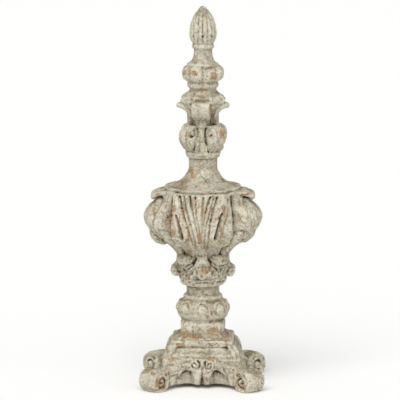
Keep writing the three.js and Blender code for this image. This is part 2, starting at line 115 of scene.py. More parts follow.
# Levels where the stages start
PLINTH_Z = UNDERSIDE + BASE_HEIGHT
PILASTER_Z = PLINTH_Z + PLINTH_HEIGHT
DRUM_Z = PILASTER_Z + PILASTER_HEIGHT
NECK_Z = DRUM_Z + DRUM_HEIGHT
BOWL_Z = NECK_Z + NECK_HEIGHT
COLLAR_Z = BOWL_Z + BOWL_HEIGHT
BASKET_Z = COLLAR_Z + COLLAR_HEIGHT
SHOULDER_Z = BASKET_Z + BASKET_HEIGHT
RING_Z = SHOULDER_Z + SHOULDER_HEIGHT
CAGE_Z = RING_Z + RING_HEIGHT
CAPITAL_Z = CAGE_Z + CAGE_HEIGHT
BELL_Z = CAPITAL_Z + CAPITAL_HEIGHT
FILLET_Z = BELL_Z + BELL_HEIGHT
KNOP_Z = FILLET_Z + FILLET_HEIGHT
STALK_Z = KNOP_Z + KNOP_HEIGHT
BUD_RING_Z = STALK_Z + STALK_HEIGHT
BUD_Z = BUD_RING_Z + BUD_RING_HEIGHT

# How finely surfaces are laid out before they are fused, and the size of the fused skin's grid
GAP = 1.5
SKIN_GRID = 1.25
MOST_TRIANGLES = 190000
QUARTER = math.pi / 2
SEED = 7
METRES = 0.001


# Shares and curves

def ease(value, low, high):
    """0 below low, 1 above high and a smooth step between them."""
    share = np.clip((value - low) / (high - low), 0, 1)
    return share * share * (3 - 2 * share)


def hump(value, middle, half):
    """1 in the middle, falling smoothly to 0 at half a width on either side."""
    return 1 - ease(np.abs(value - middle), 0, half)


def swell(share, start, middle, end):
    """A size that swells from one end value through the middle to the other."""
    return start + (end - start) * share + (middle - (start + end) / 2) * np.sin(share * math.pi)


def through(points, share):
    """Points of a smooth curve through the given ones, at shares of its course."""
    knots = np.asarray(points, float)
    count = len(knots)
    place = np.clip(share, 0, 1) * (count - 1)
    low = np.minimum(place.astype(int), count - 2)
    step = (place - low)[..., None]
    before, here = knots[np.maximum(low - 1, 0)], knots[low]
    there, after = knots[low + 1], knots[np.minimum(low + 2, count - 1)]
    rise_here, rise_there = (there - before) / 2, (after - here) / 2
    return (
        here * (2 * step**3 - 3 * step**2 + 1)
        + there * (3 * step**2 - 2 * step**3)
        + rise_here * (step**3 - 2 * step**2 + step)
        + rise_there * (step**3 - step**2)
    )


def evenly(points, gap):
    """The points of a polyline laid out again at even gaps."""
    points = np.asarray(points, float)
    lengths = np.linalg.norm(np.diff(points, axis=0), axis=1)
    course = np.concatenate([[0], np.cumsum(lengths)])
    count = max(2, int(round(course[-1] / gap)) + 1)
    at = np.linspace(0, course[-1], count)
    return np.stack([np.interp(at, course, points[:, axis]) for axis in range(points.shape[1])], 1)


def outline(bottom, steps):
    """Radius and height along a stage's outline. Each step is a line, or a curve with one handle."""
    pieces = [np.array([[0.0, bottom]])]
    here = np.array([0.0, bottom])
    for step in [*steps, [0.0, steps[-1][-1]]]:
        end = np.array(step[-2:], float)
        share = np.linspace(0, 1, 24)[:, None]
        if len(step) == 4:
            handle = np.array(step[:2], float)
            run = (1 - share) ** 2 * here + 2 * share * (1 - share) * handle + share**2 * end
        else:
            run = here + (end - here) * share
        pieces.append(evenly(run, GAP)[1:])
        here = end
    return np.concatenate(pieces)


# Noise that is the same on each run

def scatter(cells, seed):
    """A value from 0 to 1 for each cell of a grid."""
    mixed = cells[..., 0] * 73856093 ^ cells[..., 1] * 19349663 ^ cells[..., 2] * 83492791
    mixed = (mixed ^ (seed * 2654435761)) & 0xFFFFFFFF
    mixed = ((mixed ^ (mixed >> 15)) * 2246822519) & 0xFFFFFFFF
    mixed = ((mixed ^ (mixed >> 13)) * 3266489917) & 0xFFFFFFFF
    return ((mixed ^ (mixed >> 16)) & 0xFFFF) / 0xFFFF


def cloud(points, size, seed):
    """Smooth noise from -1 to 1 with lumps of the given size."""
    place = np.asarray(points, float) / size + 1000
    cell = np.floor(place).astype(np.int64)
    part = place - cell
    part = part * part * (3 - 2 * part)
    total = 0
    for corner in range(8):
        offset = np.array([corner & 1, corner >> 1 & 1, corner >> 2 & 1])
        weight = np.prod(np.where(offset == 1, part, 1 - part), axis=-1)
        total = total + weight * scatter(cell + offset, seed)
    return total * 2 - 1


def clouds(points, size, seed, layers=3):
    """Noise with finer and weaker layers on the coarse one."""
    total = sum(cloud(points, size / 2**layer, seed + layer) / 2**layer for layer in range(layers))
    return total / (2 - 0.5 ** (layers - 1))


# Carving: how far a point is from a cut, and the cuts and beads that follow it

def away(u, v, points):
    """Distance from a polyline, and the share of its course at the nearest point."""
    points = np.asarray(points, float)
    lengths = np.linalg.norm(np.diff(points, axis=0), axis=1)
    course = np.concatenate([[0], np.cumsum(lengths)]) / max(lengths.sum(), 1e-9)
    nearest = np.full(np.shape(u), np.inf)
    share = np.zeros(np.shape(u))
    for k, (start, end) in enumerate(zip(points[:-1], points[1:])):
        run = end - start
        along = ((u - start[0]) * run[0] + (v - start[1]) * run[1]) / max(run @ run, 1e-9)
        along = np.clip(along, 0, 1)
        gone = np.hypot(u - start[0] - along * run[0], v - start[1] - along * run[1])
        closer = gone < nearest
        nearest = np.where(closer, gone, nearest)
        share = np.where(closer, course[k] + (course[k + 1] - course[k]) * along, share)
    return nearest, share


def line(u, v, points, width, height, ends=(1, 1)):
    """A bead along a line, or a groove where height is negative. ends are how wide it starts and
    ends, as shares of the width."""
    gone, share = away(u, v, points)
    size = ends[0] + (ends[1] - ends[0]) * share
    return height * np.sqrt(size) * (1 - ease(gone, 0, width / 2 * size))


def mound(u, v, centre, radii, height, power=2.0):
    """A rounded mound, or a hollow where height is negative."""
    far = ((u - centre[0]) / radii[0]) ** 2 + ((v - centre[1]) / radii[1]) ** 2
    return height * np.clip(1 - far ** (power / 2), 0, 1) ** 0.6


def spiral(centre, radius, turns, start=0.0, hand=1, points=28):
    """Points of a scroll's spiral, from its rim to its eye."""
    share = np.linspace(0, 1, points)
    angle = start + hand * share * turns * 2 * math.pi
    reach = radius * (1 - share) ** 0.9 + radius * 0.12
    return np.stack([centre[0] + reach * np.cos(angle), centre[1] + reach * np.sin(angle)], 1)


def squared(turn, sharpness):
    """A factor on a radius that makes a square with eased corners."""
    power = np.abs(np.cos(turn)) ** sharpness + np.abs(np.sin(turn)) ** sharpness
    return power ** (-1 / sharpness)


def octagonal(turn):
    """A factor on a radius that makes an octagon."""
    eighth = QUARTER / 2
    return 1 / np.cos(turn - np.round(turn / eighth) * eighth)


# Building up the skin's pieces

castings = []


def mesh_from(grid, name):
    """A closed mesh from rows of points around: its first and last row are drawn in to one point."""
    rows, columns = grid.shape[:2]
    points = [grid[0].mean(0), *grid[1:-1].reshape(-1, 3), grid[-1].mean(0)]
    faces = []
    ring = lambda row: 1 + (row - 1) * columns
    for k in range(columns):
        after = (k + 1) % columns
        faces.append((0, ring(1) + after, ring(1) + k))
        faces.append((len(points) - 1, ring(rows - 2) + k, ring(rows - 2) + after))
    k = np.arange(columns)
    after = (k + 1) % columns
    for row in range(1, rows - 2):
        low, high = ring(row), ring(row + 1)
        faces.extend(np.stack([low + k, low + after, high + after, high + k], 1).tolist())
    mesh = bpy.data.meshes.new(name)
    mesh.from_pydata([tuple(point) for point in points], [], faces)
    piece = bpy.data.objects.new(name, mesh)
    bpy.context.scene.collection.objects.link(piece)
    turn_faces_out(piece)
    castings.append(piece)
    return piece


def turn_faces_out(piece):
    """Faces that point inwards all over are flipped, going by the volume they close."""
    mesh = piece.data
    mesh.calc_loop_triangles()
    places = np.empty(len(mesh.vertices) * 3)
    mesh.vertices.foreach_get("co", places)
    places = places.reshape(-1, 3)
    corners = np.empty(len(mesh.loop_triangles) * 3, int)
    mesh.loop_triangles.foreach_get("vertices", corners)
    a, b, c = (places[corners.reshape(-1, 3)[:, k]] for k in range(3))
    if np.einsum("ij,ij->i", a, np.cross(b, c)).sum() < 0:
        mesh.flip_normals()


def turned(name, path, widest, radius=None, relief=None, flat_faces=False):
    """A stage turned from an outline. radius(turn, z, r) gives its true radius, and
    relief(turn, x, z) what is carved on it, pushed out from the axis or from the flat face."""
    columns = max(24, int(2 * math.pi * widest / GAP))
    turn = np.arange(columns) / columns * 2 * math.pi - math.pi
    turn, r = np.meshgrid(turn, path[:, 0])
    z = np.repeat(path[:, 1:], columns, axis=1)
    true = radius(turn, z, r) if radius else r
    x, y = true * np.sin(turn), -true * np.cos(turn)
    if relief:
        ends = [path[0, 1], path[-1, 1]]
        rim = np.array([max(p[0] for p in path if p[1] == end) if end in ends else 1 for end in ends])
        held = np.ones(len(path))
        for end, edge in zip(ends, rim):
            at_end = path[:, 1] == end
            held[at_end] = path[at_end, 0] / edge
        if flat_faces:
            face = np.round(turn / QUARTER) * QUARTER
            local = turn - face
            push = relief(face, true * np.sin(local), z) * held[:, None]
            x, y = x + push * np.sin(face), y - push * np.cos(face)
        else:
            push = relief(turn, x, z) * held[:, None]
            x, y = x + push * np.sin(turn), y - push * np.cos(turn)
    return mesh_from(np.stack([x, y, z], 2), name)


def swept(name, points, size, turn, relief=None, square=2.6):
    """A leaf, band or bar along a curve given as distance from the axis and height, from its top
    down, at one side.
    size(share) gives half its width and half its thickness. relief(share, across) is carved on
    its outer side, where across goes from -1 to 1."""
    rough = through(points, np.linspace(0, 1, 60))
    course = np.linalg.norm(np.diff(rough, axis=0), axis=1).sum()
    rows = max(12, int(course / GAP))
    share = (1 - np.cos(np.linspace(0, math.pi, rows + 1))) / 2 * 0.35 + np.linspace(0, 1, rows + 1) * 0.65
    centre = through(points, share)
    ahead = through(points, np.minimum(share + 0.004, 1)) - through(points, np.maximum(share - 0.004, 0))
    ahead /= np.linalg.norm(ahead, axis=1)[:, None]
    half_width, half_thick = size(share)
    ends = np.clip(np.minimum(share, 1 - share) * course / np.maximum(half_thick, 0.5), 0, 1)
    close = np.sqrt(1 - (1 - ends) ** 2)
    half_width = half_width * (0.55 + 0.45 * close) * (close > 0)
    half_thick = half_thick * close
    columns = max(16, int(4 * np.max(half_width) / GAP))
    angle = np.arange(columns) / columns * 2 * math.pi
    across = np.sign(np.cos(angle)) * np.abs(np.cos(angle)) ** (2 / square)
    out = np.sign(np.sin(angle)) * np.abs(np.sin(angle)) ** (2 / square)
    side, front = across[None] * half_width[:, None], out[None] * half_thick[:, None]
    if relief:
        carved = relief(*np.broadcast_arrays(share[:, None], across[None]))
        front = front + carved * np.clip(out, 0, 1)[None] * close[:, None]
    away_from_axis = centre[:, :1] - front * ahead[:, 1:]
    height = centre[:, 1:] + front * ahead[:, :1]
    x = away_from_axis * math.sin(turn) + side * math.cos(turn)
    y = -away_from_axis * math.cos(turn) + side * math.sin(turn)
    return mesh_from(np.stack([x, y, height], 2), name)


# The base, its legs and its feet

def base_radius(turn, z, r):
    """A square whose lower corners spread out to the feet."""
    share = np.clip((z - UNDERSIDE) / BASE_HEIGHT, 0, 1)
    spread = 0.38 * np.clip(1 - share * 1.25, 0, 1) ** 1.4 * np.abs(np.sin(turn * 2)) ** 9
    return r * squared(turn, 12) * (1 + spread)


def base_relief(face, x, z):
    """Two arches with C-scrolls over them, a pendant of two lobes between, and a moulding."""
    half = ARCH_WIDTH / 2
    top = UNDERSIDE + ARCH_HEIGHT
    wide = np.abs(x)
    middle = ARCH_SPACING / 2
    place = np.stack([x, face * 40, z], -1)
    drop = np.clip((top - z) / ARCH_HEIGHT, 0, 1)
    reach = np.where(wide > middle, half + 9 * drop, half - 2.5)
    inside = ((wide - middle) / reach) ** 2 + (np.maximum(z - UNDERSIDE, 0) / ARCH_HEIGHT) ** 2
    push = -ARCH_DEPTH * (1 - ease(inside, 0.84, 1.04)) * (0.55 + 0.6 * drop)
    # The pendant's lobes, the cut outside each arch, and the rim over it
    push += mound(wide, z, (10, UNDERSIDE + 12), (12, 28), 7.5, 2.2)
    push -= line(wide, z, [[43, top + 3], [46, top - 4], [51, top - 18]], 4.4, 6.5, (0.7, 1))
    push += line(wide, z, [[24, top + 1], [31, top + 4], [38, top + 1], [43, top - 7]], 6, 2.0)
    # The large scroll over each lobe, and the small one over each arch
    push += mound(wide, z, (14, top + 9), (11, 12), 3.0, 3)
    ragged = 2.2 * clouds(place, 7, 36)
    push -= line(wide + ragged, z + ragged, spiral((14, top + 9.5), 8.6, 1.2, 2.2, 1), 5.4, 9, (1, 0.8))
    push += mound(wide, z, (32, top + 8), (8, 5.5), 3.2)
    push -= line(wide, z, [[24, top + 4], [32, top + 3], [41, top - 2]], 3.6, 4.5)
    push -= line(wide, z, spiral((30, top + 8), 4, 0.8, 0.5, -1), 3, 3.5)
    # The parting between the pendant's lobes
    push -= line(x, z, [[0, UNDERSIDE], [0, top - 6]], 5, 5.5, (1.6, 0.6))
    push -= mound(x, z, (0, UNDERSIDE + 6), (5, 10), 7)
    # The moulding, and the joint under the plinth
    moulding = UNDERSIDE + BASE_HEIGHT * 0.73
    push += 1.4 * hump(z, moulding + 4.5, 4)
    push -= 3.2 * hump(z, moulding, 2.2)
    push -= 4.0 * hump(z, PLINTH_Z - 1.5, 2.8)
    return push


def base():
    """The square block that stands on the feet: faces that lean out a little, a step, and a hollow slope."""
    half, top = BASE_WIDTH / 2, PLINTH_WIDTH / 2
    z = lambda share: UNDERSIDE + share * BASE_HEIGHT
    path = outline(z(0), [
        [half * 0.9, z(0)],
        [half * 0.94, z(0.15)],
        [half * 0.98, z(0.4)],
        [half, z(0.68)],
        [half, z(0.73)],
        [half * 0.965, z(0.75)],
        [half * 0.9, z(0.83), top, z(1) + 1],
    ])
    turned("base", path, half * 1.3, base_radius, base_relief, flat_faces=True)


def leg(turn):
    """A strap from the plinth's corner down the base's corner and round the roll of the foot."""
    corner = BASE_WIDTH / 2 * squared(QUARTER / 2, 8)
    half = LEG_THICKNESS / 2
    z = lambda share: UNDERSIDE + share * BASE_HEIGHT
    ring = FOOT_RADIUS - half
    rolled = [
        [FOOT_REACH + ring * math.cos(a), FOOT_RADIUS - FOOT_FLAT + ring * math.sin(a)]
        for a in np.radians([160, 125, 80, 30, -20, -65])
    ]
    points = [
        [corner * 0.8 - half, PLINTH_Z],
        [corner * 0.98 - half, z(0.87)],
        [corner * 1.05 - half, z(0.6)],
        [corner * 1.1 - half, z(0.38)],
        *rolled,
    ]

    def carving(share, across):
        return 1.8 * clouds(np.stack([share * 120, across * 20, share * 0 + turn], -1), 14, 61)

    size = lambda share: (
        FOOT_WIDTH / 2 * np.interp(share, [0, 0.28, 0.4, 0.5, 0.6, 1], [0.4, 0.42, 0.6, 0.86, 1, 1]),
        half * (1 - 0.25 * share),
    )
    swept("leg", points, size, turn, carving, square=4)


def foot(turn):
    """The roll that a leg ends in. Each of its two faces is cut as a spiral round an eye."""
    half, radius = FOOT_WIDTH / 2, FOOT_RADIUS
    rings = np.concatenate([np.linspace(0, 1, int(radius / GAP) + 2), np.ones(int(FOOT_WIDTH / GAP)),
                            np.linspace(1, 0, int(radius / GAP) + 2)])
    widths = np.concatenate([-np.ones(int(radius / GAP) + 2), np.linspace(-1, 1, int(FOOT_WIDTH / GAP)),
                             np.ones(int(radius / GAP) + 2)]) * half
    columns = int(2 * math.pi * radius / GAP)
    angle = np.arange(columns) / columns * 2 * math.pi
    u = rings[:, None] * radius * np.cos(angle)
    v = rings[:, None] * radius * np.sin(angle)
    course = spiral((0, 0), radius * 0.76, 1.6, 2.4, -1, 60)
    rough = clouds(np.stack([u, v, widths[:, None] + 0 * u], -1), 9, 63)
    cut = line(u, v, course, 8, 8.5, (1, 0.8)) + 2.8 * rough
    eye = mound(u, v, (0, 0), (6, 6), 5)
    on_face = (np.abs(widths) > half * 0.98)[:, None]
    depth = np.where(on_face, 5 - cut * 1.15 + eye, 0) - 4 * on_face
    across = np.sign(widths)[:, None] * (np.abs(widths)[:, None] + depth)
    edge = 1 - 0.13 * (np.abs(widths[:, None]) / half) ** 5
    edge = edge * (1 + 0.05 * rough)
    rho = FOOT_REACH + u * edge
    height = FOOT_RADIUS - FOOT_FLAT + v * edge
    x = rho * math.sin(turn) + across * math.cos(turn)
    y = -rho * math.cos(turn) + across * math.sin(turn)
    mesh_from(np.stack([x, y, height], 2), "foot")


# The plinth, the pilaster block and the drum

def plinth():
    """The thin square slab on the base, worn in patches."""
    half = PLINTH_WIDTH / 2
    path = outline(PLINTH_Z - 3, [
        [half * 0.93, PLINTH_Z - 3],
        [half * 0.96, PLINTH_Z + 1],
        [half, PLINTH_Z + 2.5],
        [half, PLINTH_Z + PLINTH_HEIGHT - 2],
        [half * 0.97, PLINTH_Z + PLINTH_HEIGHT],
    ])

    def worn(face, x, z):
        return -2.8 * ease(clouds(np.stack([x, face * 40, z * 0.8], -1), 19, 31), 0.15, 0.5)

    square = lambda turn, z, r: r * squared(turn, 16)
    turned("plinth", path, half * 1.3, square, worn, flat_faces=True)


def pilaster():
    """The square block under the drum, with cracks down its faces and along its foot."""
    half = PILASTER_WIDTH / 2
    spread = (half + PLINTH_WIDTH / 2) / 2
    z = lambda share: PILASTER_Z + share * PILASTER_HEIGHT
    path = outline(z(0) - 2, [
        [spread * 1.02, z(0) - 2],
        [spread * 1.04, z(0.08)],
        [half * 1.02, z(0.16), half * 0.98, z(0.34)],
        [half, z(0.9)],
        [half * 0.9, z(1.06)],
    ])

    def carving(face, x, height):
        low, high = z(0.12), z(1.0)
        push = -line(x, height, [[-19, low], [-18.5, high]], 3.4, 2.2)
        push -= line(x, height, [[38, low + 4], [37, high]], 4.2, 5)
        push -= line(x, height, [[-38, low + 8], [-38, high]], 3.4, 2.4)
        push -= line(x, height, [[-30, z(0.06)], [-12, z(0.14)], [14, z(0.12)], [34, z(0.05)]], 4, 2.6)
        push += 1.2 * hump(x, 2, 15) * ease(height, z(0.3), z(0.6))
        return push

    square = lambda turn, z, r: r * squared(turn, 7)
    turned("pilaster", path, spread * 1.3, square, carving, flat_faces=True)


def drum():
    """The bulging drum that the ovals stand on, with a dart between each two."""
    radius = DRUM_RADIUS
    z = lambda share: DRUM_Z + share * DRUM_HEIGHT
    path = outline(z(0) - 2, [
        [radius * 0.76, z(0) - 2],
        [radius * 0.83, z(0.04), radius * 0.82, z(0.12)],
        [radius * 0.96, z(0.2), radius * 0.93, z(0.6)],
        [radius * 0.92, z(0.85), radius * 0.76, z(0.95)],
        [radius * 0.7, z(1) + 2],
    ])

    def darts(turn, x, height):
        part = (turn / (QUARTER / 2) + 0.5) % 1 - 0.5
        between = (0.5 - np.abs(part)) * QUARTER / 2 * radius
        push = -3.5 * hump(between, 0, 5) * hump(height, z(0.62), DRUM_HEIGHT * 0.5)
        upper = ease(height, z(0.3), z(0.75)) * (1 - ease(height, z(0.9), z(1)))
        return push + 3.2 * hump(between, 0, 2.6) * upper

    turned("drum", path, radius, relief=darts)


def oval():
    """One oval at the front of the drum: a rim, a groove and a dome."""
    rim = np.array([1, 1, 0.97, 0.9, 0.84, 0.78, 0.72, 0.66, 0.6, 0.5, 0.38, 0.22, 0])
    lift = np.array([-9, -2, 3.2, 5.0, 4.6, 1.6, -1.2, -0.6, 2.4, 4.2, 5.2, 5.7, 5.8])
    along = np.linspace(0, len(rim) - 1, int(OVAL_WIDTH / GAP * 1.6))
    share = np.interp(along, np.arange(len(rim)), rim)
    out = np.interp(along, np.arange(len(rim)), lift)
    share, out = np.concatenate([[0], share]), np.concatenate([[-9], out])
    columns = int(3 * OVAL_HEIGHT / GAP)
    angle = np.arange(columns) / columns * 2 * math.pi
    x = share[:, None] * OVAL_WIDTH / 2 * np.cos(angle)
    height = DRUM_Z + DRUM_HEIGHT * 0.58 + share[:, None] * OVAL_HEIGHT / 2 * np.sin(angle)
    bend = x**2 / (DRUM_RADIUS * 2)
    bend = bend + 8.5 * ((height - DRUM_Z - DRUM_HEIGHT * 0.58) / OVAL_HEIGHT * 2) ** 2
    y = -(DRUM_RADIUS * 0.9 + out[:, None] * 0.9 - bend)
    return mesh_from(np.stack([x, y, height], 2), "oval")


# The neck, the bowl and the collar of leaves

def collar():
    """The neck, the bowl and the leaves over it, with a ruffled lump at each corner."""
    neck = lambda share: NECK_Z + share * NECK_HEIGHT
    bowl = lambda share: BOWL_Z + share * BOWL_HEIGHT
    z = lambda share: COLLAR_Z + share * COLLAR_HEIGHT
    radius = COLLAR_RADIUS
    path = outline(neck(0) - 2, [
        [NECK_RADIUS * 1.15, neck(0) - 2],
        [NECK_RADIUS * 1.24, neck(0.12), NECK_RADIUS * 1.16, neck(0.28)],
        [NECK_RADIUS * 1.02, neck(0.34)],
        [NECK_RADIUS * 0.97, neck(0.7), NECK_RADIUS * 1.02, bowl(-0.1)],
        [BOWL_RADIUS * 0.86, bowl(-0.05)],
        [BOWL_RADIUS * 0.93, bowl(0.05), BOWL_RADIUS, bowl(0.55)],
        [BOWL_RADIUS * 1.01, bowl(0.8), BOWL_RADIUS * 0.96, bowl(0.98)],
        [BOWL_RADIUS * 0.92, z(0.06)],
        [radius * 0.95, z(0.3), radius * 1.02, z(0.75)],
        [radius * 1.02, z(0.95)],
        [radius * 0.96, z(1.14)],
        [radius * 0.84, z(1.22)],
    ])

    def carving(turn, x, height):
        corner = (turn / QUARTER - 0.5 - np.round(turn / QUARTER - 0.5)) * QUARTER * radius
        place = np.stack([np.sin(turn) * radius, np.cos(turn) * radius, height], -1)
        face = (turn / QUARTER - np.round(turn / QUARTER)) * QUARTER * radius
        # A ruffled lump at each corner
        push = mound(corner, height, (0, z(0.92)), (22, 18), 9.5)
        folds = np.sin(corner * 0.9 + height * 0.3 + cloud(place, 12, 3) * 3)
        push += 1.6 * folds * ease(push, 0.5, 3)
        # A leaf on each face that widens downwards, a groove along its edge, and a slanting cut beside it
        skirt = np.interp(height, [z(0.04), z(0.2), z(0.45), z(0.7), z(1.0)], [41, 39, 27, 16, 11])
        on_leaf = ease(height, z(-0.04), z(0.08))
        fuller = ease(np.abs(np.cos(turn)), 0.5, 0.8)
        leaf = (1 - ease(np.abs(face), skirt - 3.5, skirt)) * on_leaf
        veins = np.cos(face / (0.35 + ease(z(1) - height, 0, 30)) * 0.55)
        push += leaf * (2 + 3.5 * fuller + 4.5 * fuller * ease(height, z(0.55), z(0.9)))
        push += 1.8 * leaf * veins * ease(np.abs(face), 3, 8)
        push -= 3 * hump(np.abs(face), skirt + 1.5, 3) * on_leaf
        under = [[12, z(1.04)], [21, z(0.76)], [32, z(0.6)], [44, z(0.64)]]
        push -= line(np.abs(face), height, under, 5, 7)
        # The lobed lower edge, the slots on both sides of the leaf, and worn patches
        lobes = z(0.1) + 2.5 * np.cos(face * 0.42)
        push -= 5 * hump(height, lobes, 3.4) * ease(cloud(place, 8, 13), -0.5, 0.1)
        slots = line(np.abs(face), height, [[19, z(0.3)], [23, z(0.12)]], 4.5, 7)
        slots += line(np.abs(face), height, [[31, z(0.34)], [35, z(0.18)]], 4.5, 6)
        push -= slots + 1.4 * ease(clouds(place, 7, 14), 0.15, 0.5) * on_leaf
        # A broken line and a wavering one round the bowl
        jagged = clouds(place * [1, 1, 0.4], 9, 11)
        push -= 5.5 * hump(height, bowl(0.42) + jagged * 3, 3.2) * ease(jagged, -0.2, 0.15)
        push -= 2.2 * hump(height, bowl(0.82) + jagged * 1.5, 2.6)
        return push

    turned("collar", path, radius * 1.1, relief=carving)


def collar_leaf():
    """A drooping leaf with a midrib, veins and a lobed edge, at the front."""
    z = lambda share: COLLAR_Z + share * COLLAR_HEIGHT
    reach = COLLAR_LEAF_REACH - 6.5
    points = [
        [COLLAR_RADIUS * 0.88, z(1.0)],
        [COLLAR_RADIUS * 0.92, z(0.76)],
        [COLLAR_RADIUS * 0.98, z(0.52)],
        [reach - 3, z(0.37)],
        [reach, z(0.23)],
        [reach - 4, z(0.08)],
        [reach - 15, z(0.06)],
    ]

    def carving(share, across):
        rib = 3.4 * hump(across, 0, 0.16) * (1 - ease(share, 0.75, 1))
        fan = across / (0.25 + share)
        veins = 1.7 * np.cos(fan * 13) * ease(np.abs(across), 0.1, 0.3)
        edge = 2.2 * hump(np.abs(across), 0.86, 0.16)
        slots = 7.5 * hump(np.abs(np.abs(across) - 0.45), 0, 0.14) * ease(share, 0.46, 0.62)
        return rib + veins + edge - slots - 2.4 * hump(np.abs(across), 0.62, 0.14)

    def size(share):
        wide = np.interp(share, [0, 0.3, 0.55, 0.72, 0.88, 1], [0.25, 0.38, 0.56, 0.78, 0.74, 0.46])
        lobes = 1 + 0.13 * np.sin(share * 26)
        return COLLAR_LEAF_WIDTH / 2 * wide * lobes, swell(share, 5, 7.5, 5)

    return swept("collar_leaf", points, size, 0, carving, square=3)


# The basket: a fan of flutes on the front and back, a swelling leaf on the left and right

FAN_PROFILE = [
    [0.46, -0.05], [0.47, 0], [0.57, 0.13], [0.8, 0.25], [0.97, 0.36], [1.01, 0.46], [1.01, 0.56],
    [0.965, 0.7], [0.92, 0.84], [0.89, 0.93], [0.86, 1.03],
]
SIDE_PROFILE = [
    [0.43, -0.05], [0.445, 0.03], [0.504, 0.106], [0.575, 0.167], [0.69, 0.24], [0.77, 0.29],
    [0.87, 0.38], [0.94, 0.46], [0.985, 0.54], [1, 0.62], [0.975, 0.69], [0.93, 0.75],
    [0.86, 0.81], [0.79, 0.86], [0.74, 0.92], [0.66, 1.03],
]

# Grooves and slots of the front fan, each from its top down, as places to the right and heights
FAN_GROOVES = [
    [[-44, 388], [-41, 371], [-36, 352], [-30, 335], [-22, 310], [-15, 284]],
    [[-36, 389], [-31, 364], [-23, 338], [-15, 310], [-10, 282]],
    [[-24, 390], [-22, 375], [-15, 348], [-9, 323], [-5, 296]],
    [[-13, 389], [-11, 353], [-5, 326], [-2, 290]],
    [[3, 387], [2, 355], [0, 326], [0, 284]],
    [[17, 389], [10, 370], [5, 348], [2.5, 321]],
    [[24, 386], [16, 358], [10, 338], [6, 316], [4, 284]],
    [[31, 388], [22, 360], [17, 338], [14, 310], [10, 279]],
]
FAN_DEPTHS = [6.5, 5, 7, 4.5, 4, 6, 5, 6.5]
FAN_SLOTS = [
    [[-50, 352], [-47, 339], [-43, 327], [-39, 308]],
    [[39, 356], [35, 340], [31, 325], [27, 308]],
]


def fan_relief(x, height):
    """The flutes of one fan, its two slots, and the cup that each outer petal ends in."""
    push = 2.0 * hump(x, -8, 62) * ease(height, BASKET_Z + 4, BASKET_Z + 40)
    # The outer petals, and the grooves between the flutes
    for side, points in zip((-1, 1), FAN_SLOTS):
        petal = [[points[0][0] + side * 3, 384], *points, [points[-1][0] + side * 2, 292]]
        push += line(x, height, petal, 30, 5.0, (0.7, 1))
    for points, deep in zip(FAN_GROOVES, FAN_DEPTHS):
        push -= line(x, height, points, 8.0, deep, (1, 0.55))
    # The slots, the grooves outside them, the cups below, and the fan's outer edges
    for side, points in zip((-1, 1), FAN_SLOTS):
        push -= line(x, height, points, 10.5, 19, (0.6, 1))
        outer = [[p[0] + side * 14, p[1] + 8] for p in points]
        push -= line(x, height, [[outer[0][0] - side * 3, 382], *outer], 5, 2.6, (0.7, 1))
        cup = side * 42 - 5
        push += mound(x, height, (cup, 296), (19, 13), 7)
        push -= mound(x, height, (cup, 298), (12, 8), 5)
        edge = [[cup - side * 20, 306], [cup - side * 10, 288], [cup, 280], [cup + side * 17, 290]]
        push -= line(x, height, edge, 6, 2.8)
        push -= line(x, height, [[side * 62 - 3, 388], [side * 66 - 3, 350], [side * 68 - 3, 312]], 9, 3.4)
    # The fan's foot
    push += 5 * hump(x, -2, 26) * (1 - ease(height, 274, 304))
    for wrinkle in range(5):
        place = -16 + wrinkle * 7
        push -= line(x, height, [[place * 0.9, 290], [place * 0.8, 262]], 4, 2.4)
    return push


def side_relief(along, height, hand):
    """The swelling side leaf: its folded front edge, broad veins and worn crack."""
    fold = [[-28, 381], [-42, 374], [-62, 358], [-68, 342], [-60, 326], [-54, 308]]
    push = -line(along, height, fold, 8, 8.5 if hand < 0 else 3, (1, 0.6))
    push += line(along, height, [[-22, 376], [-44, 360], [-54, 342], [-46, 322]], 15, 4, (1, 0.7))
    push += line(along, height, [[34, 384], [47, 352], [52, 318]], 12, 2.2)
    for vein, width, deep in (
        ([[0, 372], [-4, 340], [-2, 300]], 9, 2.4),
        ([[-70, 320], [-52, 300], [-30, 292], [0, 296], [30, 292], [58, 306]], 8, 4.5),
        ([[28, 384], [40, 356], [46, 320]], 8, 3),
        ([[-22, 352], [-30, 322], [-24, 300]], 8, 1.8),
        ([[18, 352], [24, 322], [18, 300]], 8, 1.8),
    ):
        push -= line(along, height, vein, width, deep)
    if hand > 0:
        crack = [[-80, 344], [-73, 335], [-79, 325], [-66, 317], [-58, 306], [-46, 299], [-42, 290]]
        push -= line(along, height, crack, 4.4, 5)
    return push


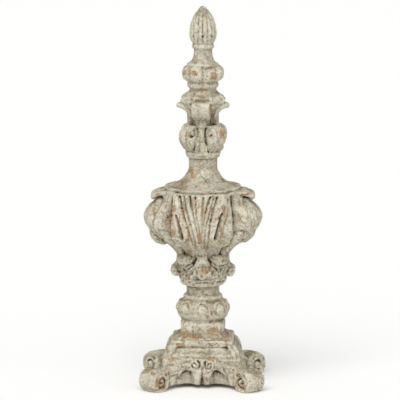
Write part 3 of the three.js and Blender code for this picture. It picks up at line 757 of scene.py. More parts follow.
def basket():
    """The body: each level runs from the fan's reach to the side leaf's, with a valley between."""
    z = lambda share: BASKET_Z + share * BASKET_HEIGHT
    heights = np.linspace(z(-0.04), z(1.03), int(BASKET_HEIGHT * 1.25 / GAP))
    fine = np.linspace(0, 1, 400)
    spans = {}
    for name, profile, reach in (("fan", FAN_PROFILE, BASKET_FRONT), ("side", SIDE_PROFILE, BASKET_SIDE)):
        curve = through(profile, fine)
        spans[name] = lambda height, curve=curve, reach=reach: reach * np.interp(
            (height - BASKET_Z) / BASKET_HEIGHT, curve[:, 1], curve[:, 0])
    low, high = heights[0], heights[-1]
    cap = lambda height, shares: np.stack([shares, np.full(len(shares), height)], 1)
    steps = int(70 / GAP)
    path = np.concatenate([cap(low, np.linspace(0, 1, steps))[:-1], cap(0, np.ones(len(heights))) * [1, 0],
                           cap(high, np.linspace(1, 0, steps))[1:]])
    path[steps - 1:steps - 1 + len(heights), 1] = heights

    def radius(turn, height, share):
        sideways = np.abs(np.sin(turn))
        share_up = np.clip((height - BASKET_Z) / BASKET_HEIGHT, 0, 1)
        blend = ease(sideways, 0.58, 0.84)
        fan, side = spans["fan"](height), spans["side"](height)
        valley = 1 - 0.17 * np.exp(-(((sideways - 0.69) / 0.05) ** 2)) * np.sin(share_up * math.pi) ** 0.6
        return (fan + (side - fan) * blend) * valley * share

    def carving(turn, x, height):
        front = np.cos(turn) > 0
        fan = fan_relief(np.where(front, x, -x * 0.96 - 4), height)
        sideways = np.abs(np.sin(turn))
        hand = np.sign(np.sin(turn))
        y = -np.abs(x / np.where(sideways < 0.2, 1, np.sin(turn))) * np.cos(turn)
        leaf = np.where(hand > 0, side_relief(y, height, 1), side_relief(y, height, -1))
        blend = ease(sideways, 0.62, 0.74)
        return fan * (1 - blend) + leaf * blend

    turned("basket", path, BASKET_SIDE, radius, carving)


def flap(turn):
    """The leaf's upper end, which folds out from the shoulder and curls under in a lip."""
    z = lambda share: BASKET_Z + share * BASKET_HEIGHT
    reach = FLAP_REACH - 2.5
    points = [
        [SHOULDER_RADIUS * 0.7, z(0.985)],
        [SHOULDER_RADIUS * 1.0, z(0.99)],
        [reach * 0.9, z(0.965)],
        [reach * 0.965, z(0.925)],
        [reach * 0.95, z(0.875)],
    ]

    def carving(share, across):
        curl = 1.6 * hump(share, 0.7, 0.14)
        midrib = 2.6 * hump(across, 0, 0.35) * ease(share, 0.1, 0.4)
        return curl - midrib - 1.8 * hump(np.abs(across), 0.62, 0.2)

    size = lambda share: (
        FLAP_WIDTH / 2 * np.interp(share, [0, 0.3, 0.6, 0.8, 1], [1.28, 1.25, 1.1, 0.95, 0.7]),
        FLAP_THICKNESS / 2 * np.interp(share, [0, 0.5, 0.8, 1], [1, 1, 1.15, 0.9]),
    )
    swept("flap", points, size, turn, carving, square=3)


def lobe(turn, spread, low=0.0):
    """One of the lobes that a side leaf ends in below."""
    z = lambda share: BASKET_Z + share * BASKET_HEIGHT
    points = [
        [BASKET_SIDE * 0.88, z(0.44)],
        [BASKET_SIDE * 0.82, z(0.34 + low)],
        [BASKET_SIDE * 0.72, z(0.26 + low)],
        [BASKET_SIDE * 0.62, z(0.235 + low)],
    ]
    size = lambda share: (13 * swell(share, 0.9, 1, 0.5), 9 * swell(share, 0.8, 1, 0.5))
    swept("lobe", points, size, turn + spread, lambda share, across: 1.6 * np.cos(across * 7), square=2.4)


# The shoulder, the cage of scrolls, the capital and the bell

def shoulder():
    """The dished cover of the basket, which runs up to the slim neck and its ring."""
    radius = SHOULDER_RADIUS
    z = lambda share: SHOULDER_Z + share * SHOULDER_HEIGHT
    ring = lambda share: RING_Z + share * RING_HEIGHT
    path = outline(z(0) - 3, [
        [radius * 1.02, z(0) - 3],
        [radius * 1.07, z(-0.01), radius * 1.05, z(0.05)],
        [radius * 0.985, z(0.06)],
        [radius * 1.0, z(0.08), radius * 0.99, z(0.15)],
        [radius * 0.55, z(0.225), SLIM_RADIUS * 1.25, z(0.48)],
        [SLIM_RADIUS, z(0.62), SLIM_RADIUS, z(0.76)],
        [SLIM_RADIUS * 1.02, z(1.0)],
        [RING_RADIUS * 0.93, ring(0.06)],
        [RING_RADIUS * 0.98, ring(0.3), RING_RADIUS * 1.0, ring(0.62)],
        [RING_RADIUS * 1.05, ring(0.7), RING_RADIUS * 1.01, ring(0.92)],
        [RING_RADIUS * 0.86, ring(1.1)],
    ])

    def carving(turn, x, height):
        place = np.stack([np.sin(turn) * radius, np.cos(turn) * radius, height * 0], -1)
        low = 1 - ease(height, z(0.03), z(0.07))
        push = low * (2.2 * clouds(place, 16, 5) + 1.2 * np.cos(turn * 24))
        return push - 1.2 * hump(height, z(0.1), 3) * ease(clouds(place, 25, 8), 0, 0.4)

    turned("shoulder", path, radius, relief=carving)


# How far the carving of the cage is turned round from the front, as the photo shows it
CARVED_TURN = math.radians(4.5)


def cage():
    """The core: a tongue on each face between two leaves that curl in beside it."""
    z = lambda share: CAGE_Z + share * CAGE_HEIGHT
    path = outline(z(0) - 2, [[STEM_RADIUS, z(0) - 2], [STEM_RADIUS, z(1) + 2]])
    full = (CAGE_REACH - 3) / STEM_RADIUS * 0.92

    def radius(turn, height, r):
        share = np.clip((height - CAGE_Z) / CAGE_HEIGHT, 0, 1)
        corner = np.abs(np.sin(turn * 2))
        bulge = np.sin(math.pi * share ** 0.92) ** 0.6 * (1 - ease(share, 0.78, 0.96))
        leaf = 1 + (full - 1) * bulge * ease(corner, 0.36, 0.66)
        return r * leaf

    def carving(turn, x, height):
        turned_by = turn + CARVED_TURN
        face = np.round(turned_by / QUARTER) * QUARTER
        across = radius(turn, height, STEM_RADIUS) * np.sin(turned_by - face)
        wide = np.abs(across)
        low = 1 - ease(height, z(0.05), z(0.5))
        # The tongue on each face
        push = 7 * (1 - ease(wide, 3.5 + 6 * low, 8 + 5 * low)) * (1 - ease(height, z(0.8), z(0.98)))
        # The saw-edged crevice beside it, then the leaf's swell, its volute and the cut along its outer edge
        saw = 2.2 * (np.abs((height / 3.4) % 2 - 1) - 0.5) * (1 - ease(height, z(0.5), z(0.6)))
        crevice = [[16, z(0.95)], [10.5, z(0.92)], [7, z(0.8)], [7, z(0.62)], [11.5, z(0.44)], [13, z(0.2)],
                   [14, z(0.03)]]
        push -= line(wide + saw, height, crevice, 5.5, 11)
        push += mound(wide, height, (18, z(0.56)), (10, 20), 6)
        volute = [[19, z(0.86)], [13.5, z(0.82)], [12.5, z(0.68)], [17, z(0.6)], [20, z(0.7)]]
        push -= line(wide, height, volute, 5.5, 10)
        outer_cut = [[27, z(0.86)], [27, z(0.5)], [22, z(0.2)], [18, z(0.06)]]
        push -= line(wide, height, outer_cut, 4.6, 6)
        return push

    turned("cage", path, CAGE_REACH, radius, carving)


def cage_band():
    """One C-scroll's outer band, at a corner, with a rim along each edge."""
    z = lambda share: CAGE_Z + share * CAGE_HEIGHT
    reach = CAGE_REACH - 4
    points = [
        [STEM_RADIUS * 0.75, z(0.8)],
        [reach * 0.64, z(0.9)],
        [reach * 0.86, z(0.84)],
        [reach * 0.99, z(0.67)],
        [reach * 0.97, z(0.43)],
        [reach * 0.79, z(0.2)],
        [STEM_RADIUS * 0.95, z(0.03)],
    ]

    def carving(share, across):
        rim = 2.4 * hump(np.abs(across), 0.86, 0.2)
        return rim - 1.6 * hump(np.abs(across), 0.6, 0.2) + 0.8 * hump(across, 0, 0.4)

    size = lambda share: (BAND_WIDTH / 2 * swell(share, 0.75, 1.05, 0.8), swell(share, 4.5, 5.5, 4))
    return swept("cage_band", points, size, QUARTER / 2 - CARVED_TURN / 2, carving, square=4)


def capital():
    """The capital's core, grooved on each face and flaring out under the bell."""
    z = lambda share: CAPITAL_Z + share * CAPITAL_HEIGHT
    path = outline(z(0) - 3, [
        [STEM_RADIUS * 1.02, z(0) - 3],
        [STEM_RADIUS * 1.0, z(0.2), STEM_RADIUS * 1.05, z(0.45)],
        [CAPITAL_REACH * 0.57, z(0.6)],
        [CAPITAL_REACH * 0.65, z(0.72)],
        [CAPITAL_REACH * 0.77, z(0.87)],
        [CAPITAL_REACH * 0.76, z(1) + 2],
    ])

    def carving(turn, x, height):
        face = np.round(turn / QUARTER) * QUARTER
        local = (turn - face) * STEM_RADIUS
        push = 3.4 * hump(local, 0, 14) * (1 - ease(height, z(0.35), z(0.7)))
        push -= line(np.abs(local), height, [[17, z(0.1)], [18, z(0.5)], [20, z(0.9)]], 5, 1.6)
        push -= line(np.abs(local), height, [[0, z(0.42)], [5, z(0.3)], [9, z(0.02)]], 4, 1.6)
        return push

    four_sided = lambda turn, height, r: r * (1 + 0.04 * np.cos(turn * 4))
    turned("capital", path, CAPITAL_REACH, four_sided, carving)


def tab(turn):
    """The leaf tab that is folded down over the front and the back of the capital."""
    z = lambda share: CAPITAL_Z + share * CAPITAL_HEIGHT
    points = [
        [STEM_RADIUS * 1.1, z(0.98)],
        [CAPITAL_REACH * 0.78, z(1.02)],
        [CAPITAL_REACH * 0.88, z(0.94)],
        [CAPITAL_REACH * 0.83, z(0.7)],
        [CAPITAL_REACH * 0.7, z(0.5)],
        [CAPITAL_REACH * 0.61, z(0.38)],
    ]

    def carving(share, across):
        edge = 1.1 * hump(np.abs(across), 0.88, 0.14)
        return edge - 1.3 * hump(across, 0.06, 0.12) * ease(share, 0.75, 0.95)

    size = lambda share: (HORN_WIDTH / 2 * swell(share, 0.86, 1.0, 0.9), swell(share, 5, 7.5, 5.5))
    swept("tab", points, size, turn - CARVED_TURN * 0.8, carving, square=7)


def lip(turn):
    """The leaf that bends out to a thick lip on the left and the right of the capital."""
    z = lambda share: CAPITAL_Z + share * CAPITAL_HEIGHT
    points = [
        [STEM_RADIUS * 0.76, z(0.3)],
        [STEM_RADIUS * 0.92, z(0.53)],
        [CAPITAL_REACH * 0.53, z(0.69)],
        [CAPITAL_REACH * 0.67, z(0.83)],
        [CAPITAL_REACH * 0.85, z(0.89)],
        [CAPITAL_REACH * 0.97, z(0.82)],
    ]
    size = lambda share: (HORN_WIDTH / 2 * swell(share, 0.7, 1.1, 0.6), swell(share, 4.5, 6.5, 3.4))
    swept("lip", points, size, turn, square=3.4)


def bell():
    """The eight-sided bell with a fold at each corner, and the fillet over it."""
    half = BELL_WIDTH / 2
    z = lambda share: BELL_Z + share * BELL_HEIGHT
    fillet = lambda share: FILLET_Z + share * FILLET_HEIGHT
    waist = FILLET_RADIUS * 0.83
    path = outline(z(0) - 1, [
        [half * 0.93, z(0) - 1],
        [half * 0.97, z(0.04), half, z(0.1)],
        [half * 1.0, z(0.16), half * 0.96, z(0.22)],
        [half * 0.93, z(0.32)],
        [half * 0.78, z(0.44), half * 0.7, z(0.53)],
        [waist, z(0.64), waist, z(0.74)],
        [FILLET_RADIUS * 0.9, fillet(-1.3)],
        [FILLET_RADIUS * 1.02, fillet(-0.9), FILLET_RADIUS * 0.98, fillet(-0.2)],
        [FILLET_RADIUS * 0.9, fillet(1.3)],
    ])

    def radius(turn, height, r):
        return r * (1 + (octagonal(turn) - 1.03) * (1 - ease(height, z(0.35), z(0.8))))

    def carving(turn, x, height):
        place = np.stack([np.sin(turn) * half, np.cos(turn) * half, height], -1)
        eighth = QUARTER / 2
        fold = np.abs(turn / eighth - np.round(turn / eighth + 0.5) + 0.5) * eighth * half
        push = 2.4 * hump(fold, 0, 5) * ease(height, z(0.08), z(0.2)) * (1 - ease(height, z(0.35), z(0.6)))
        push -= 2.6 * hump(height, z(0.27), 3) * ease(clouds(place, 16, 22), -0.2, 0.2)
        return push - 2.4 * ease(clouds(place, 12, 21), 0.1, 0.45) * (1 - ease(height, z(0.35), z(0.65)))

    turned("bell", path, half, radius, carving)


# The bud: a thin disc on the knop, the stalk, a ring, and petals that close at the tip

def bud():
    """The disc, the stalk, the ring and the ribbed bud, in one turned outline."""
    stalk = lambda share: STALK_Z + share * STALK_HEIGHT
    ring = lambda share: BUD_RING_Z + share * BUD_RING_HEIGHT
    z = lambda share: BUD_Z + share * BUD_HEIGHT
    disc, radius = FILLET_RADIUS, BUD_RADIUS
    path = outline(stalk(0) - 3, [
        [disc * 0.9, stalk(0) - 3],
        [disc * 1.02, stalk(0.04), disc * 0.98, stalk(0.12)],
        [disc * 0.86, stalk(0.19)],
        [STALK_RADIUS * 1.12, stalk(0.3), STALK_RADIUS * 1.02, stalk(0.6)],
        [STALK_RADIUS * 0.98, stalk(0.94)],
        [BUD_RING_RADIUS * 0.96, ring(0)],
        [BUD_RING_RADIUS * 1.06, ring(0.45), BUD_RING_RADIUS * 0.98, ring(0.9)],
        [BUD_RING_RADIUS * 0.84, z(0.03)],
        [radius * 0.84, z(0.03), radius * 0.96, z(0.15)],
        [radius * 1.02, z(0.24), radius * 1.0, z(0.34)],
        [radius * 1.0, z(0.5), radius * 0.86, z(0.62)],
        [radius * 0.76, z(0.74), radius * 0.6, z(0.81)],
        [radius * 0.44, z(0.88), radius * 0.34, z(0.93)],
        [radius * 0.24, z(0.97), radius * 0.2, z(0.99)],
        [radius * 0.1, z(1)],
    ])

    def carving(turn, x, height):
        eighth = QUARTER / 2
        part = (turn / eighth - np.round(turn / eighth)) * eighth
        share = np.clip((height - BUD_Z) / BUD_HEIGHT, 0, 1)
        across = np.abs(part) * radius * np.sin(math.pi * np.clip(share, 0.08, 0.96)) ** 0.4
        on_bud = ease(share, 0.03, 0.16) * (1 - ease(share, 0.93, 1))
        push = -3.8 * hump(across, 0, 2.6) * on_bud
        other = (turn / eighth + 0.5 - np.round(turn / eighth + 0.5)) * eighth * radius
        push -= 4.2 * hump(np.abs(other), 0, 2.8) * on_bud
        quarter = (turn / eighth * 2 + 0.5 - np.round(turn / eighth * 2 + 0.5)) * eighth / 2 * radius
        push -= 0.9 * hump(np.abs(quarter), 0, 2.2) * on_bud * ease(share, 0.3, 0.5)
        push += 1.1 * hump(part * radius, 0, 8) * ease(share, 0.1, 0.2) * (1 - ease(share, 0.3, 0.42))
        push -= mound(part * radius, height, (0, z(0.23)), (3.4, 3), 3.0)
        place = np.stack([np.sin(turn) * disc, np.cos(turn) * disc, height], -1)
        on_disc = 1 - ease(height, stalk(0.2), stalk(0.35))
        return push - 2 * ease(clouds(place, 10, 15), 0.1, 0.5) * on_disc

    turned("bud", path, disc, relief=carving)


# Maths between sockets, in shaders and in trees that make shapes

class Maths:
    """A socket that is added, multiplied, divided and raised to a power as a number is."""

    def __init__(self, plan, socket):
        self.plan = plan
        self.socket = socket

    def work(self, operation, *values):
        return self.plan.node("ShaderNodeMath", {"operation": operation}, values)

    def __add__(self, other):
        return self.work("ADD", self, other)

    def __radd__(self, other):
        return self.work("ADD", other, self)

    def __sub__(self, other):
        return self.work("SUBTRACT", self, other)

    def __rsub__(self, other):
        return self.work("SUBTRACT", other, self)

    def __mul__(self, other):
        return self.work("MULTIPLY", self, other)

    def __rmul__(self, other):
        return self.work("MULTIPLY", other, self)

    def __truediv__(self, other):
        return self.work("DIVIDE", self, other)

    def __rtruediv__(self, other):
        return self.work("DIVIDE", other, self)

    def __pow__(self, other):
        return self.work("POWER", self, other)

    def __rpow__(self, other):
        return self.work("POWER", other, self)

    def __abs__(self):
        return self.work("ABSOLUTE", self)


class Plan:
    """A node tree being drawn up. node() adds any node and gives one of its outputs as Maths.
    Where two sockets of a node have the same name, they are given by number."""

    def __init__(self, tree):
        self.tree = tree

    def node(self, kind, settings=None, sockets=(), out=0):
        made = self.tree.nodes.new(kind)
        for name, value in (settings or {}).items():
            setattr(made, name, value)
        pairs = sockets.items() if isinstance(sockets, dict) else enumerate(sockets)
        for key, value in pairs:
            if isinstance(value, Maths):
                self.tree.links.new(value.socket, made.inputs[key])
            elif value is not None:
                made.inputs[key].default_value = value
        return Maths(self, made.outputs[out]) if len(made.outputs) else made

    def also(self, maths, out):
        """Another output of the node that a value comes from."""
        return Maths(self, maths.socket.node.outputs[out])


# Trees that make what repeats or follows a rule

def shape_tree(name, inputs):
    """An empty tree with named inputs and one geometry output."""
    tree = bpy.data.node_groups.new(name, "GeometryNodeTree")
    tree.interface.new_socket("Geometry", in_out="INPUT", socket_type="NodeSocketGeometry")
    for label, (kind, value) in inputs.items():
        socket = tree.interface.new_socket(label, in_out="INPUT", socket_type=kind)
        socket.default_value = value
    tree.interface.new_socket("Geometry", in_out="OUTPUT", socket_type="NodeSocketGeometry")
    plan = Plan(tree)
    start = plan.node("NodeGroupInput")
    given = {label: plan.also(start, label) for label in ("Geometry", *inputs)}
    return plan, given


def end_tree(plan, shape):
    """Ends a tree in real geometry with the finish on it."""
    real = plan.node("GeometryNodeRealizeInstances", {}, [shape])
    finished = plan.node("GeometryNodeSetMaterial", {}, {"Geometry": real, "Material": finish})
    plan.node("NodeGroupOutput", {}, [finished])
    return plan.tree


def grow(tree, source, name, **values):
    """The plain mesh that a tree makes of a source piece, with the source taken away."""
    modifier = source.modifiers.new(tree.name, "NODES")
    modifier.node_group = tree
    for item in tree.interface.items_tree:
        label = item.name.lower().replace(" ", "_")
        if item.item_type == "SOCKET" and item.in_out == "INPUT" and label in values:
            modifier[item.identifier] = values[label]
    graph = bpy.context.evaluated_depsgraph_get()
    mesh = bpy.data.meshes.new_from_object(source.evaluated_get(graph))
    source.modifiers.clear()
    mesh.name = name
    grown = bpy.data.objects.new(name, mesh)
    bpy.context.scene.collection.objects.link(grown)
    if source in castings:
        castings.remove(source)
    bpy.data.objects.remove(source)
    turn_faces_out(grown)
    castings.append(grown)
    return grown


def round_the_axis():
    """Repeats a piece round the axis, at even turns."""
    plan, given = shape_tree("repeat_round_the_axis", {
        "Count": ("NodeSocketInt", 4), "First Turn": ("NodeSocketFloat", 0.0),
        "Wobble": ("NodeSocketFloat", 0.0)})
    points = plan.node("GeometryNodePoints", {}, [given["Count"]])
    number = plan.node("GeometryNodeInputIndex")
    chance = plan.node("FunctionNodeRandomValue", {"data_type": "FLOAT"},
                       {2: given["Wobble"] * -1, 3: given["Wobble"], "Seed": SEED}, out=1)
    turn = given["First Turn"] + number * (2 * math.pi) / given["Count"] + chance
    spin = plan.node("ShaderNodeCombineXYZ", {}, {"Z": turn})
    copies = plan.node("GeometryNodeInstanceOnPoints", {},
                       {"Points": points, "Instance": given["Geometry"], "Rotation": spin})
    return end_tree(plan, copies)


def cushion():
    """Draws a ball out to a cushion of lobes with a groove between each two."""
    plan, given = shape_tree("lobed_cushion", {
        "Radius": ("NodeSocketFloat", 1.0), "Half Height": ("NodeSocketFloat", 1.0),
        "Middle": ("NodeSocketFloat", 0.0), "Lobes": ("NodeSocketFloat", 8.0),
        "Groove": ("NodeSocketFloat", 0.1), "Fineness": ("NodeSocketInt", 64)})
    ball = plan.node("GeometryNodeMeshUVSphere", {}, {
        "Segments": given["Fineness"], "Rings": given["Fineness"] / 2})
    place = plan.node("GeometryNodeInputPosition")
    x = plan.node("ShaderNodeSeparateXYZ", {}, [place])
    y, z = plan.also(x, 1), plan.also(x, 2)
    turn = x.work("ARCTAN2", x, y * -1)
    out = (x * x + y * y) ** 0.5
    wave = abs(x.work("SINE", turn * given["Lobes"] / 2))
    factor = given["Radius"] * (1 - given["Groove"] * (1 - wave) ** 2.6) * (out + 1e-6) ** -0.55
    flat = z.work("SIGN", z) * abs(z) ** 0.8
    drawn = plan.node("ShaderNodeCombineXYZ", {}, [
        x * factor, y * factor, flat * given["Half Height"] + given["Middle"]])
    shaped = plan.node("GeometryNodeSetPosition", {}, {"Geometry": ball, "Position": drawn})
    return end_tree(plan, shaped)


# The finish, and what is written on the skin for it to read

MARKS = ("hollow", "deep", "ridge", "stain")


def tone(red, green, blue):
    """A colour as seen, from 0 to 255, as the linear values that a shader takes."""
    parts = [part / 255 for part in (red, green, blue)]
    linear = [part / 12.92 if part <= 0.04045 else ((part + 0.055) / 1.055) ** 2.4 for part in parts]
    return (*linear, 1)


def aged_white():
    """Chalky off-white, with olive dirt in the hollows, grime and painted shade in the deepest crevices,
    wear and a painted highlight on ridges, rust-brown stains and small dark pits.
    """
    material = bpy.data.materials.new("aged_white")
    material.use_nodes = True
    material.node_tree.nodes.clear()
    plan = Plan(material.node_tree)
    place = plan.node("ShaderNodeTexCoord", {}, (), "Object")

    def clouding(scale, detail=4.0, rough=0.55, lift=0.0):
        return plan.node("ShaderNodeTexNoise", {}, {
            "Vector": place, "Scale": scale, "Detail": detail, "Roughness": rough, "Distortion": lift})

    def between(value, low, high):
        return plan.node("ShaderNodeMapRange", {"interpolation_type": "SMOOTHSTEP"}, {
            "Value": value, "From Min": low, "From Max": high})

    def blend(factor, under, over):
        return plan.node("ShaderNodeMix", {"data_type": "RGBA"}, {0: factor, 6: under, 7: over}, out=2)

    hollow, deep, ridge, stain = [
        plan.node("ShaderNodeAttribute", {"attribute_name": mark}, (), "Fac") for mark in MARKS]

    broad = clouding(20.0, 3.0)
    patch = clouding(48.0, 6.0, 0.72, 0.5)
    middle = clouding(110.0, 6.0, 0.75)
    fine = clouding(330.0, 4.0, 0.72)
    grain = clouding(950.0, 2.0, 0.6)
    rubbed = clouding(170.0, 5.0, 0.8, 1.2)

    # Chalk, paler on ridges, partly for wear and partly as a painted highlight
    chalk = blend(between(broad, 0.38, 0.62), tone(188, 183, 165), tone(187, 175, 156))
    chalk = blend(between(middle, 0.5, 0.62), chalk, tone(204, 197, 177))
    chalk = blend(between(middle, 0.5, 0.38), chalk, tone(158, 151, 128))
    # Paler on ridges: worn edges together with a painted highlight
    worn = blend(ridge * between(fine, 0.36, 0.56), chalk, tone(214, 208, 189))
    # A film of olive dust, ochre patches, and dark grime with painted shade in the depths
    film = hollow * (0.35 + between(patch, 0.42, 0.58))
    film = film + between(patch, 0.52, 0.62) * between(fine, 0.4, 0.56) * 0.7
    dusty = blend(plan.node("ShaderNodeClamp", {}, [film]) * 0.85, worn, tone(120, 111, 84))
    ochre = between(clouding(40.0, 6.0, 0.75, 0.8), 0.52, 0.6) * (0.3 + hollow * 0.7)
    dusty = blend(ochre * between(fine, 0.4, 0.56) * 0.8, dusty, tone(160, 133, 86))
    # Near-black in the deepest crevices: partly grime, partly painted shade
    dark = between(deep + (fine - 0.5) * 1.2 + (middle - 0.5) * 0.8, 0.3, 0.72)
    grimy_and_shaded = blend(dark * 0.95, dusty, tone(48, 41, 29))
    # Rust-brown stains with broken edges
    broken = stain * 0.8 + (rubbed - 0.5) * 4.2 + (fine - 0.5) * 3
    rust = between(broken, 0.3, 0.66) * between(stain, 0.02, 0.3)
    rust_tone = blend(between(middle, 0.44, 0.56), tone(174, 134, 84), tone(142, 103, 60))
    rusty = blend(rust * 0.84, grimy_and_shaded, rust_tone)
    # Specks in clusters, and pinpricks
    clustered = between(broad, 0.42, 0.56)
    speck = between(clouding(230.0, 3.0, 0.75), 0.56, 0.62) * (0.4 + clustered * 0.6)
    pitted = blend(speck * 0.62, rusty, tone(96, 85, 60))
    pinprick = between(clouding(400.0, 1.0, 0.5), 0.66, 0.72)
    pitted = blend(pinprick * 0.7, pitted, tone(66, 57, 40))

    dull = 0.84 + middle * 0.14 - ridge * 0.05
    height = middle * 0.9 + fine * 0.6 + grain * 0.25 - speck * 0.9 - pinprick * 0.6
    bump = plan.node("ShaderNodeBump", {}, {"Height": height, "Strength": 0.7, "Distance": 0.0018})
    surface = plan.node("ShaderNodeBsdfPrincipled", {}, {
        "Base Color": pitted, "Roughness": dull, "Normal": bump, "Specular IOR Level": 0.28})
    plan.node("ShaderNodeOutputMaterial", {}, [surface])
    return material


# Fusing and weathering the skin

def relax(values, edges, times):
    """Values at points, smoothed over the points next to them."""
    count = np.bincount(edges.ravel(), minlength=len(values)).astype(float)
    values = values.copy()
    for _ in range(times):
        total = np.empty_like(values)
        for axis in range(values.shape[1]):
            column = values[:, axis]
            total[:, axis] = (
                np.bincount(edges[:, 0], column[edges[:, 1]], len(values))
                + np.bincount(edges[:, 1], column[edges[:, 0]], len(values))
            )
        values = values * 0.4 + total / np.maximum(count, 1)[:, None] * 0.6
    return values


def laid_out(mesh):
    """The points, edges and normals of a mesh."""
    points = np.empty(len(mesh.vertices) * 3, np.float32)
    mesh.vertices.foreach_get("co", points)
    edges = np.empty(len(mesh.edges) * 2, np.int32)
    mesh.edges.foreach_get("vertices", edges)
    normals = np.empty(len(mesh.vertices) * 3, np.float32)
    mesh.vertex_normals.foreach_get("vector", normals)
    return points.reshape(-1, 3).astype(float), edges.reshape(-1, 2), normals.reshape(-1, 3).astype(float)


def with_modifier(piece, kind, **settings):
    """The mesh that one modifier makes of a piece, applied to it."""
    modifier = piece.modifiers.new(kind.lower(), kind)
    for name, value in settings.items():
        setattr(modifier, name, value)
    graph = bpy.context.evaluated_depsgraph_get()
    mesh = bpy.data.meshes.new_from_object(piece.evaluated_get(graph))
    piece.modifiers.clear()
    old, piece.data = piece.data, mesh
    bpy.data.meshes.remove(old)


# Rust-brown stains of the front, as places to the right, heights, and half sizes
STAINS = [
    (-36, 629, 6, 6), (-17, 630, 11, 6), (22, 625, 9, 9), (15, 556, 2.6, 14), (0, 596, 10, 4),
    (39, 510, 8, 10), (-32, 500, 2.6, 20), (33, 492, 2.2, 12), (0, 463, 7, 3), (-5, 440, 3, 9),
    (-20, 425, 5, 9), (-36, 362, 2.6, 22), (-19, 378, 3.2, 10), (1, 364, 3, 14), (-26, 318, 2.6, 22),
    (-13, 294, 2.4, 16), (-4, 312, 3, 20), (8, 284, 2.6, 12), (-45, 335, 3, 20), (-38, 312, 2.6, 14),
    (-63, 336, 4, 18), (-56, 366, 5, 8), (-58, 316, 5, 9), (43, 362, 4, 14), (34, 349, 4, 7),
    (38, 322, 2.6, 22), (34, 304, 2.6, 8), (20, 366, 3, 8), (74, 372, 3, 5), (77, 345, 3, 9),
    (-88, 386, 8, 3), (-95, 358, 3, 18), (86, 388, 14, 2.6), (4, 236, 11, 6), (-2, 228, 5, 5),
    (20, 113, 12, 6), (26, 118, 8, 5), (6, 86, 5, 2.6), (50, 88, 7, 2.6), (-46, 88, 8, 3),
    (-60, 60, 11, 3), (-15, 61, 4, 4), (17, 60, 6, 4), (-70, 77, 4, 8), (-27, 35, 6, 3),
    (-84, 20, 9, 12), (-76, 9, 7, 6), (-94, 6, 12, 3), (70, 17, 4, 9), (84, 12, 6, 6), (76, 34, 5, 5),
    (86, 66, 4, 7), (0, 12, 4, 4), (-28, 160, 3, 6), (10, 141, 4, 5), (26, 150, 3, 8),
    (-12, 101, 12, 5), (-36, 103, 8, 7), (50, 100, 6, 5),
]


def weathered(piece):
    """Rubs the skin down, then wears, chips, pits and cracks it."""
    mesh = piece.data
    points, edges, normals = laid_out(mesh)
    points = relax(points, edges, 1)
    low = np.einsum("ij,ij->i", relax(points, edges, 14) - points, normals)
    edge_wear = ease(-low, 0.15, 0.9)
    push = 0.55 * clouds(points, 34, 41) + 0.4 * clouds(points, 9, 42)
    push -= edge_wear * 1.5 * ease(clouds(points, 11, 43), 0.05, 0.4)
    push -= 1.3 * ease(cloud(points, 4.6, 44), 0.6, 0.85) * ease(clouds(points, 40, 45), -0.25, 0.2)
    push -= 0.8 * ease(cloud(points, 2.8, 46), 0.62, 0.9)
    crack = np.abs(clouds(points * [1, 1, 0.5], 26, 47))
    push -= 1.5 * (1 - ease(crack, 0.012, 0.04)) * ease(cloud(points, 42, 48), 0.28, 0.5)
    push *= ease(points[:, 2], 0.5, 5) * (1 - 0.6 * ease(points[:, 2], BUD_Z - 8, BUD_Z + 4))
    points = points + normals * push[:, None]
    points[:, 2] = np.where(points[:, 2] < 0.8, 0, points[:, 2])
    mesh.vertices.foreach_set("co", points.astype(np.float32).ravel())
    mesh.update()


def marked(piece):
    """Writes where the skin is hollow, deep, on a ridge or stained, for the finish to read."""
    mesh = piece.data
    points, edges, normals = laid_out(mesh)
    near = np.einsum("ij,ij->i", relax(points, edges, 5) - points, normals)
    far = np.einsum("ij,ij->i", relax(points, edges, 30) - points, normals)
    smooth = relax(np.stack([near, far], 1), edges, 1)
    near, far = smooth[:, 0], smooth[:, 1]
    hollow = ease(near, 0.02, 0.5) * 0.6 + ease(far, 0.1, 2.2) * 0.7
    # deep marks the deepest crevices, where the finish paints dark grime together with painted shade
    deep = ease(near, 0.18, 0.85) * 0.65 + ease(far, 1.2, 4.2) * 0.75
    ridge = ease(-near, 0.05, 0.5)
    settled = ease(normals[:, 2], 0.45, 0.85) * ease(clouds(points, 20, 53), -0.2, 0.3)
    hollow = hollow + 0.75 * settled
    front = points[:, 1] < 0
    stain = np.zeros(len(points))
    for right, up, half, tall in STAINS:
        far_off = np.sqrt(((points[:, 0] - right) / half) ** 2 + ((points[:, 2] - up) / tall) ** 2)
        stain = np.maximum(stain, (1 - ease(far_off, 0.45, 1.25)) * front)
    blotch = ease(clouds(points * [1, 1, 0.6], 15, 51), 0.3, 0.55) * ease(hollow, 0.1, 0.5)
    speckle = ease(clouds(points * [1, 1, 0.7], 7, 52), 0.46, 0.62)
    stain = np.clip(np.maximum(stain, np.maximum(blotch * 0.75, speckle * 0.6)), 0, 1)
    for name, values in zip(MARKS, (hollow, deep, ridge, stain)):
        attribute = mesh.attributes.new(name, "FLOAT", "POINT")
        attribute.data.foreach_set("value", np.clip(values, 0, 1).astype(np.float32))


def fused():
    """All pieces as one closed skin of one casting."""
    bpy.ops.object.select_all(action="DESELECT")
    for piece in castings:
        piece.select_set(True)
    bpy.context.view_layer.objects.active = castings[0]
    bpy.ops.object.join()
    casting = castings[0]
    casting.name = "carved_finial"
    with_modifier(casting, "REMESH", mode="VOXEL", voxel_size=SKIN_GRID, adaptivity=0.0)
    return casting


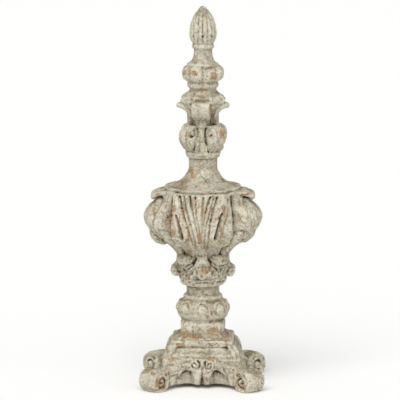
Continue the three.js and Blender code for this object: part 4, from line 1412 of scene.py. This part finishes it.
def largest_part(piece):
    """Takes away any crumb that isn't joined to the casting."""
    mesh = piece.data
    edges = laid_out(mesh)[1]
    label = np.arange(len(mesh.vertices))
    while True:
        low = np.minimum(label[edges[:, 0]], label[edges[:, 1]])
        after = label.copy()
        np.minimum.at(after, edges[:, 0], low)
        np.minimum.at(after, edges[:, 1], low)
        after = after[after]
        if (after == label).all():
            break
        label = after
    keep = np.bincount(label).argmax()
    if (label != keep).any():
        shape = bmesh.new()
        shape.from_mesh(mesh)
        shape.verts.ensure_lookup_table()
        crumbs = [shape.verts[k] for k in np.nonzero(label != keep)[0]]
        bmesh.ops.delete(shape, geom=crumbs, context="VERTS")
        shape.to_mesh(mesh)
        shape.free()


# The studio

AXIS_RIGHT = 0.006
AIM_HEIGHT = 0.370
CAMERA_DISTANCE = 8.7
CAMERA_RISE = math.radians(9.2)
CAMERA_SIDE = math.radians(1.6)
FRAME_WIDTH = 0.8


def studio():
    """The camera at the photograph's angle, plain soft lights and a plain pale floor."""
    scene = bpy.context.scene
    lens = bpy.data.cameras.new("camera")
    lens.sensor_width = 36
    lens.lens = lens.sensor_width * CAMERA_DISTANCE / FRAME_WIDTH
    lens.clip_end = 60
    camera = bpy.data.objects.new("camera", lens)
    level = CAMERA_DISTANCE * math.cos(CAMERA_RISE)
    camera.location = (
        level * math.sin(CAMERA_SIDE) - AXIS_RIGHT,
        -level * math.cos(CAMERA_SIDE),
        AIM_HEIGHT + CAMERA_DISTANCE * math.sin(CAMERA_RISE),
    )
    camera.rotation_euler = (QUARTER - CAMERA_RISE, 0, CAMERA_SIDE)
    scene.collection.objects.link(camera)
    scene.camera = camera
    scene.view_settings.view_transform = "Standard"

    for name, strength, spread, down, round_to in (
        ("top_light", 2.0, 50, 38, -16),
        ("front_light", 0.55, 80, 72, 30),
    ):
        light = bpy.data.lights.new(name, "SUN")
        light.energy, light.angle = strength, math.radians(spread)
        lamp = bpy.data.objects.new(name, light)
        lamp.location = (0, -2, 3)
        lamp.rotation_euler = (math.radians(down), 0, math.radians(round_to))
        scene.collection.objects.link(lamp)

    world = bpy.data.worlds.new("studio")
    scene.world = world
    world.use_nodes = True
    world.node_tree.nodes.clear()
    plan = Plan(world.node_tree)
    seen = plan.node("ShaderNodeLightPath", {}, (), "Is Camera Ray")
    strength = seen * 0.55 + 0.5
    sky = plan.node("ShaderNodeBackground", {}, {"Color": (1, 1, 1, 1), "Strength": strength})
    plan.node("ShaderNodeOutputWorld", {}, [sky])

    half = 60.0
    ground = bpy.data.meshes.new("floor")
    corners = [(-half, -half, 0), (half, -half, 0), (half, half, 0), (-half, half, 0)]
    ground.from_pydata(corners, [], [(0, 1, 2, 3)])
    floor = bpy.data.objects.new("floor", ground)
    scene.collection.objects.link(floor)
    pale = bpy.data.materials.new("pale_floor")
    pale.use_nodes = True
    coat = pale.node_tree.nodes["Principled BSDF"].inputs
    coat["Base Color"].default_value = (0.96, 0.96, 0.95, 1)
    coat["Roughness"].default_value = 0.9
    ground.materials.append(pale)


# Making the finial

studio()
finish = aged_white()

around = round_the_axis()

base()
for part in (leg, foot):
    part(QUARTER / 2)
    grow(around, castings[-1], part.__name__ + "s", count=4)
plinth()
pilaster()
drum()
grow(around, oval(), "ovals", count=OVALS)
collar()
grow(around, collar_leaf(), "collar_leaves", count=4)
basket()
for side_turn in (QUARTER, -QUARTER):
    flap(side_turn)
    lobe(side_turn, 0.28)
    lobe(side_turn, -0.28, 0.04)
shoulder()
cage()
grow(around, cage_band(), "cage_bands", count=4)
capital()
for face_turn in (0, 2 * QUARTER):
    tab(face_turn)
    lip(face_turn + QUARTER)
bell()

seed = bpy.data.objects.new("seed", bpy.data.meshes.new("seed"))
bpy.context.scene.collection.objects.link(seed)
grow(cushion(), seed, "knop", radius=float(KNOP_RADIUS), half_height=KNOP_HEIGHT * 0.6,
     middle=KNOP_Z + KNOP_HEIGHT / 2, lobes=float(LOBES), groove=0.15, fineness=128)
bud()

casting = fused()
largest_part(casting)
weathered(casting)
triangles = len(casting.data.polygons) * 2
if triangles > MOST_TRIANGLES:
    with_modifier(casting, "DECIMATE", ratio=MOST_TRIANGLES / triangles, use_collapse_triangulate=True)
marked(casting)

mesh = casting.data
mesh.transform(Matrix.Scale(METRES, 4))
mesh.materials.clear()
mesh.materials.append(finish)
mesh.shade_smooth()
mesh.update()

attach(casting, "root")
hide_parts("finial")
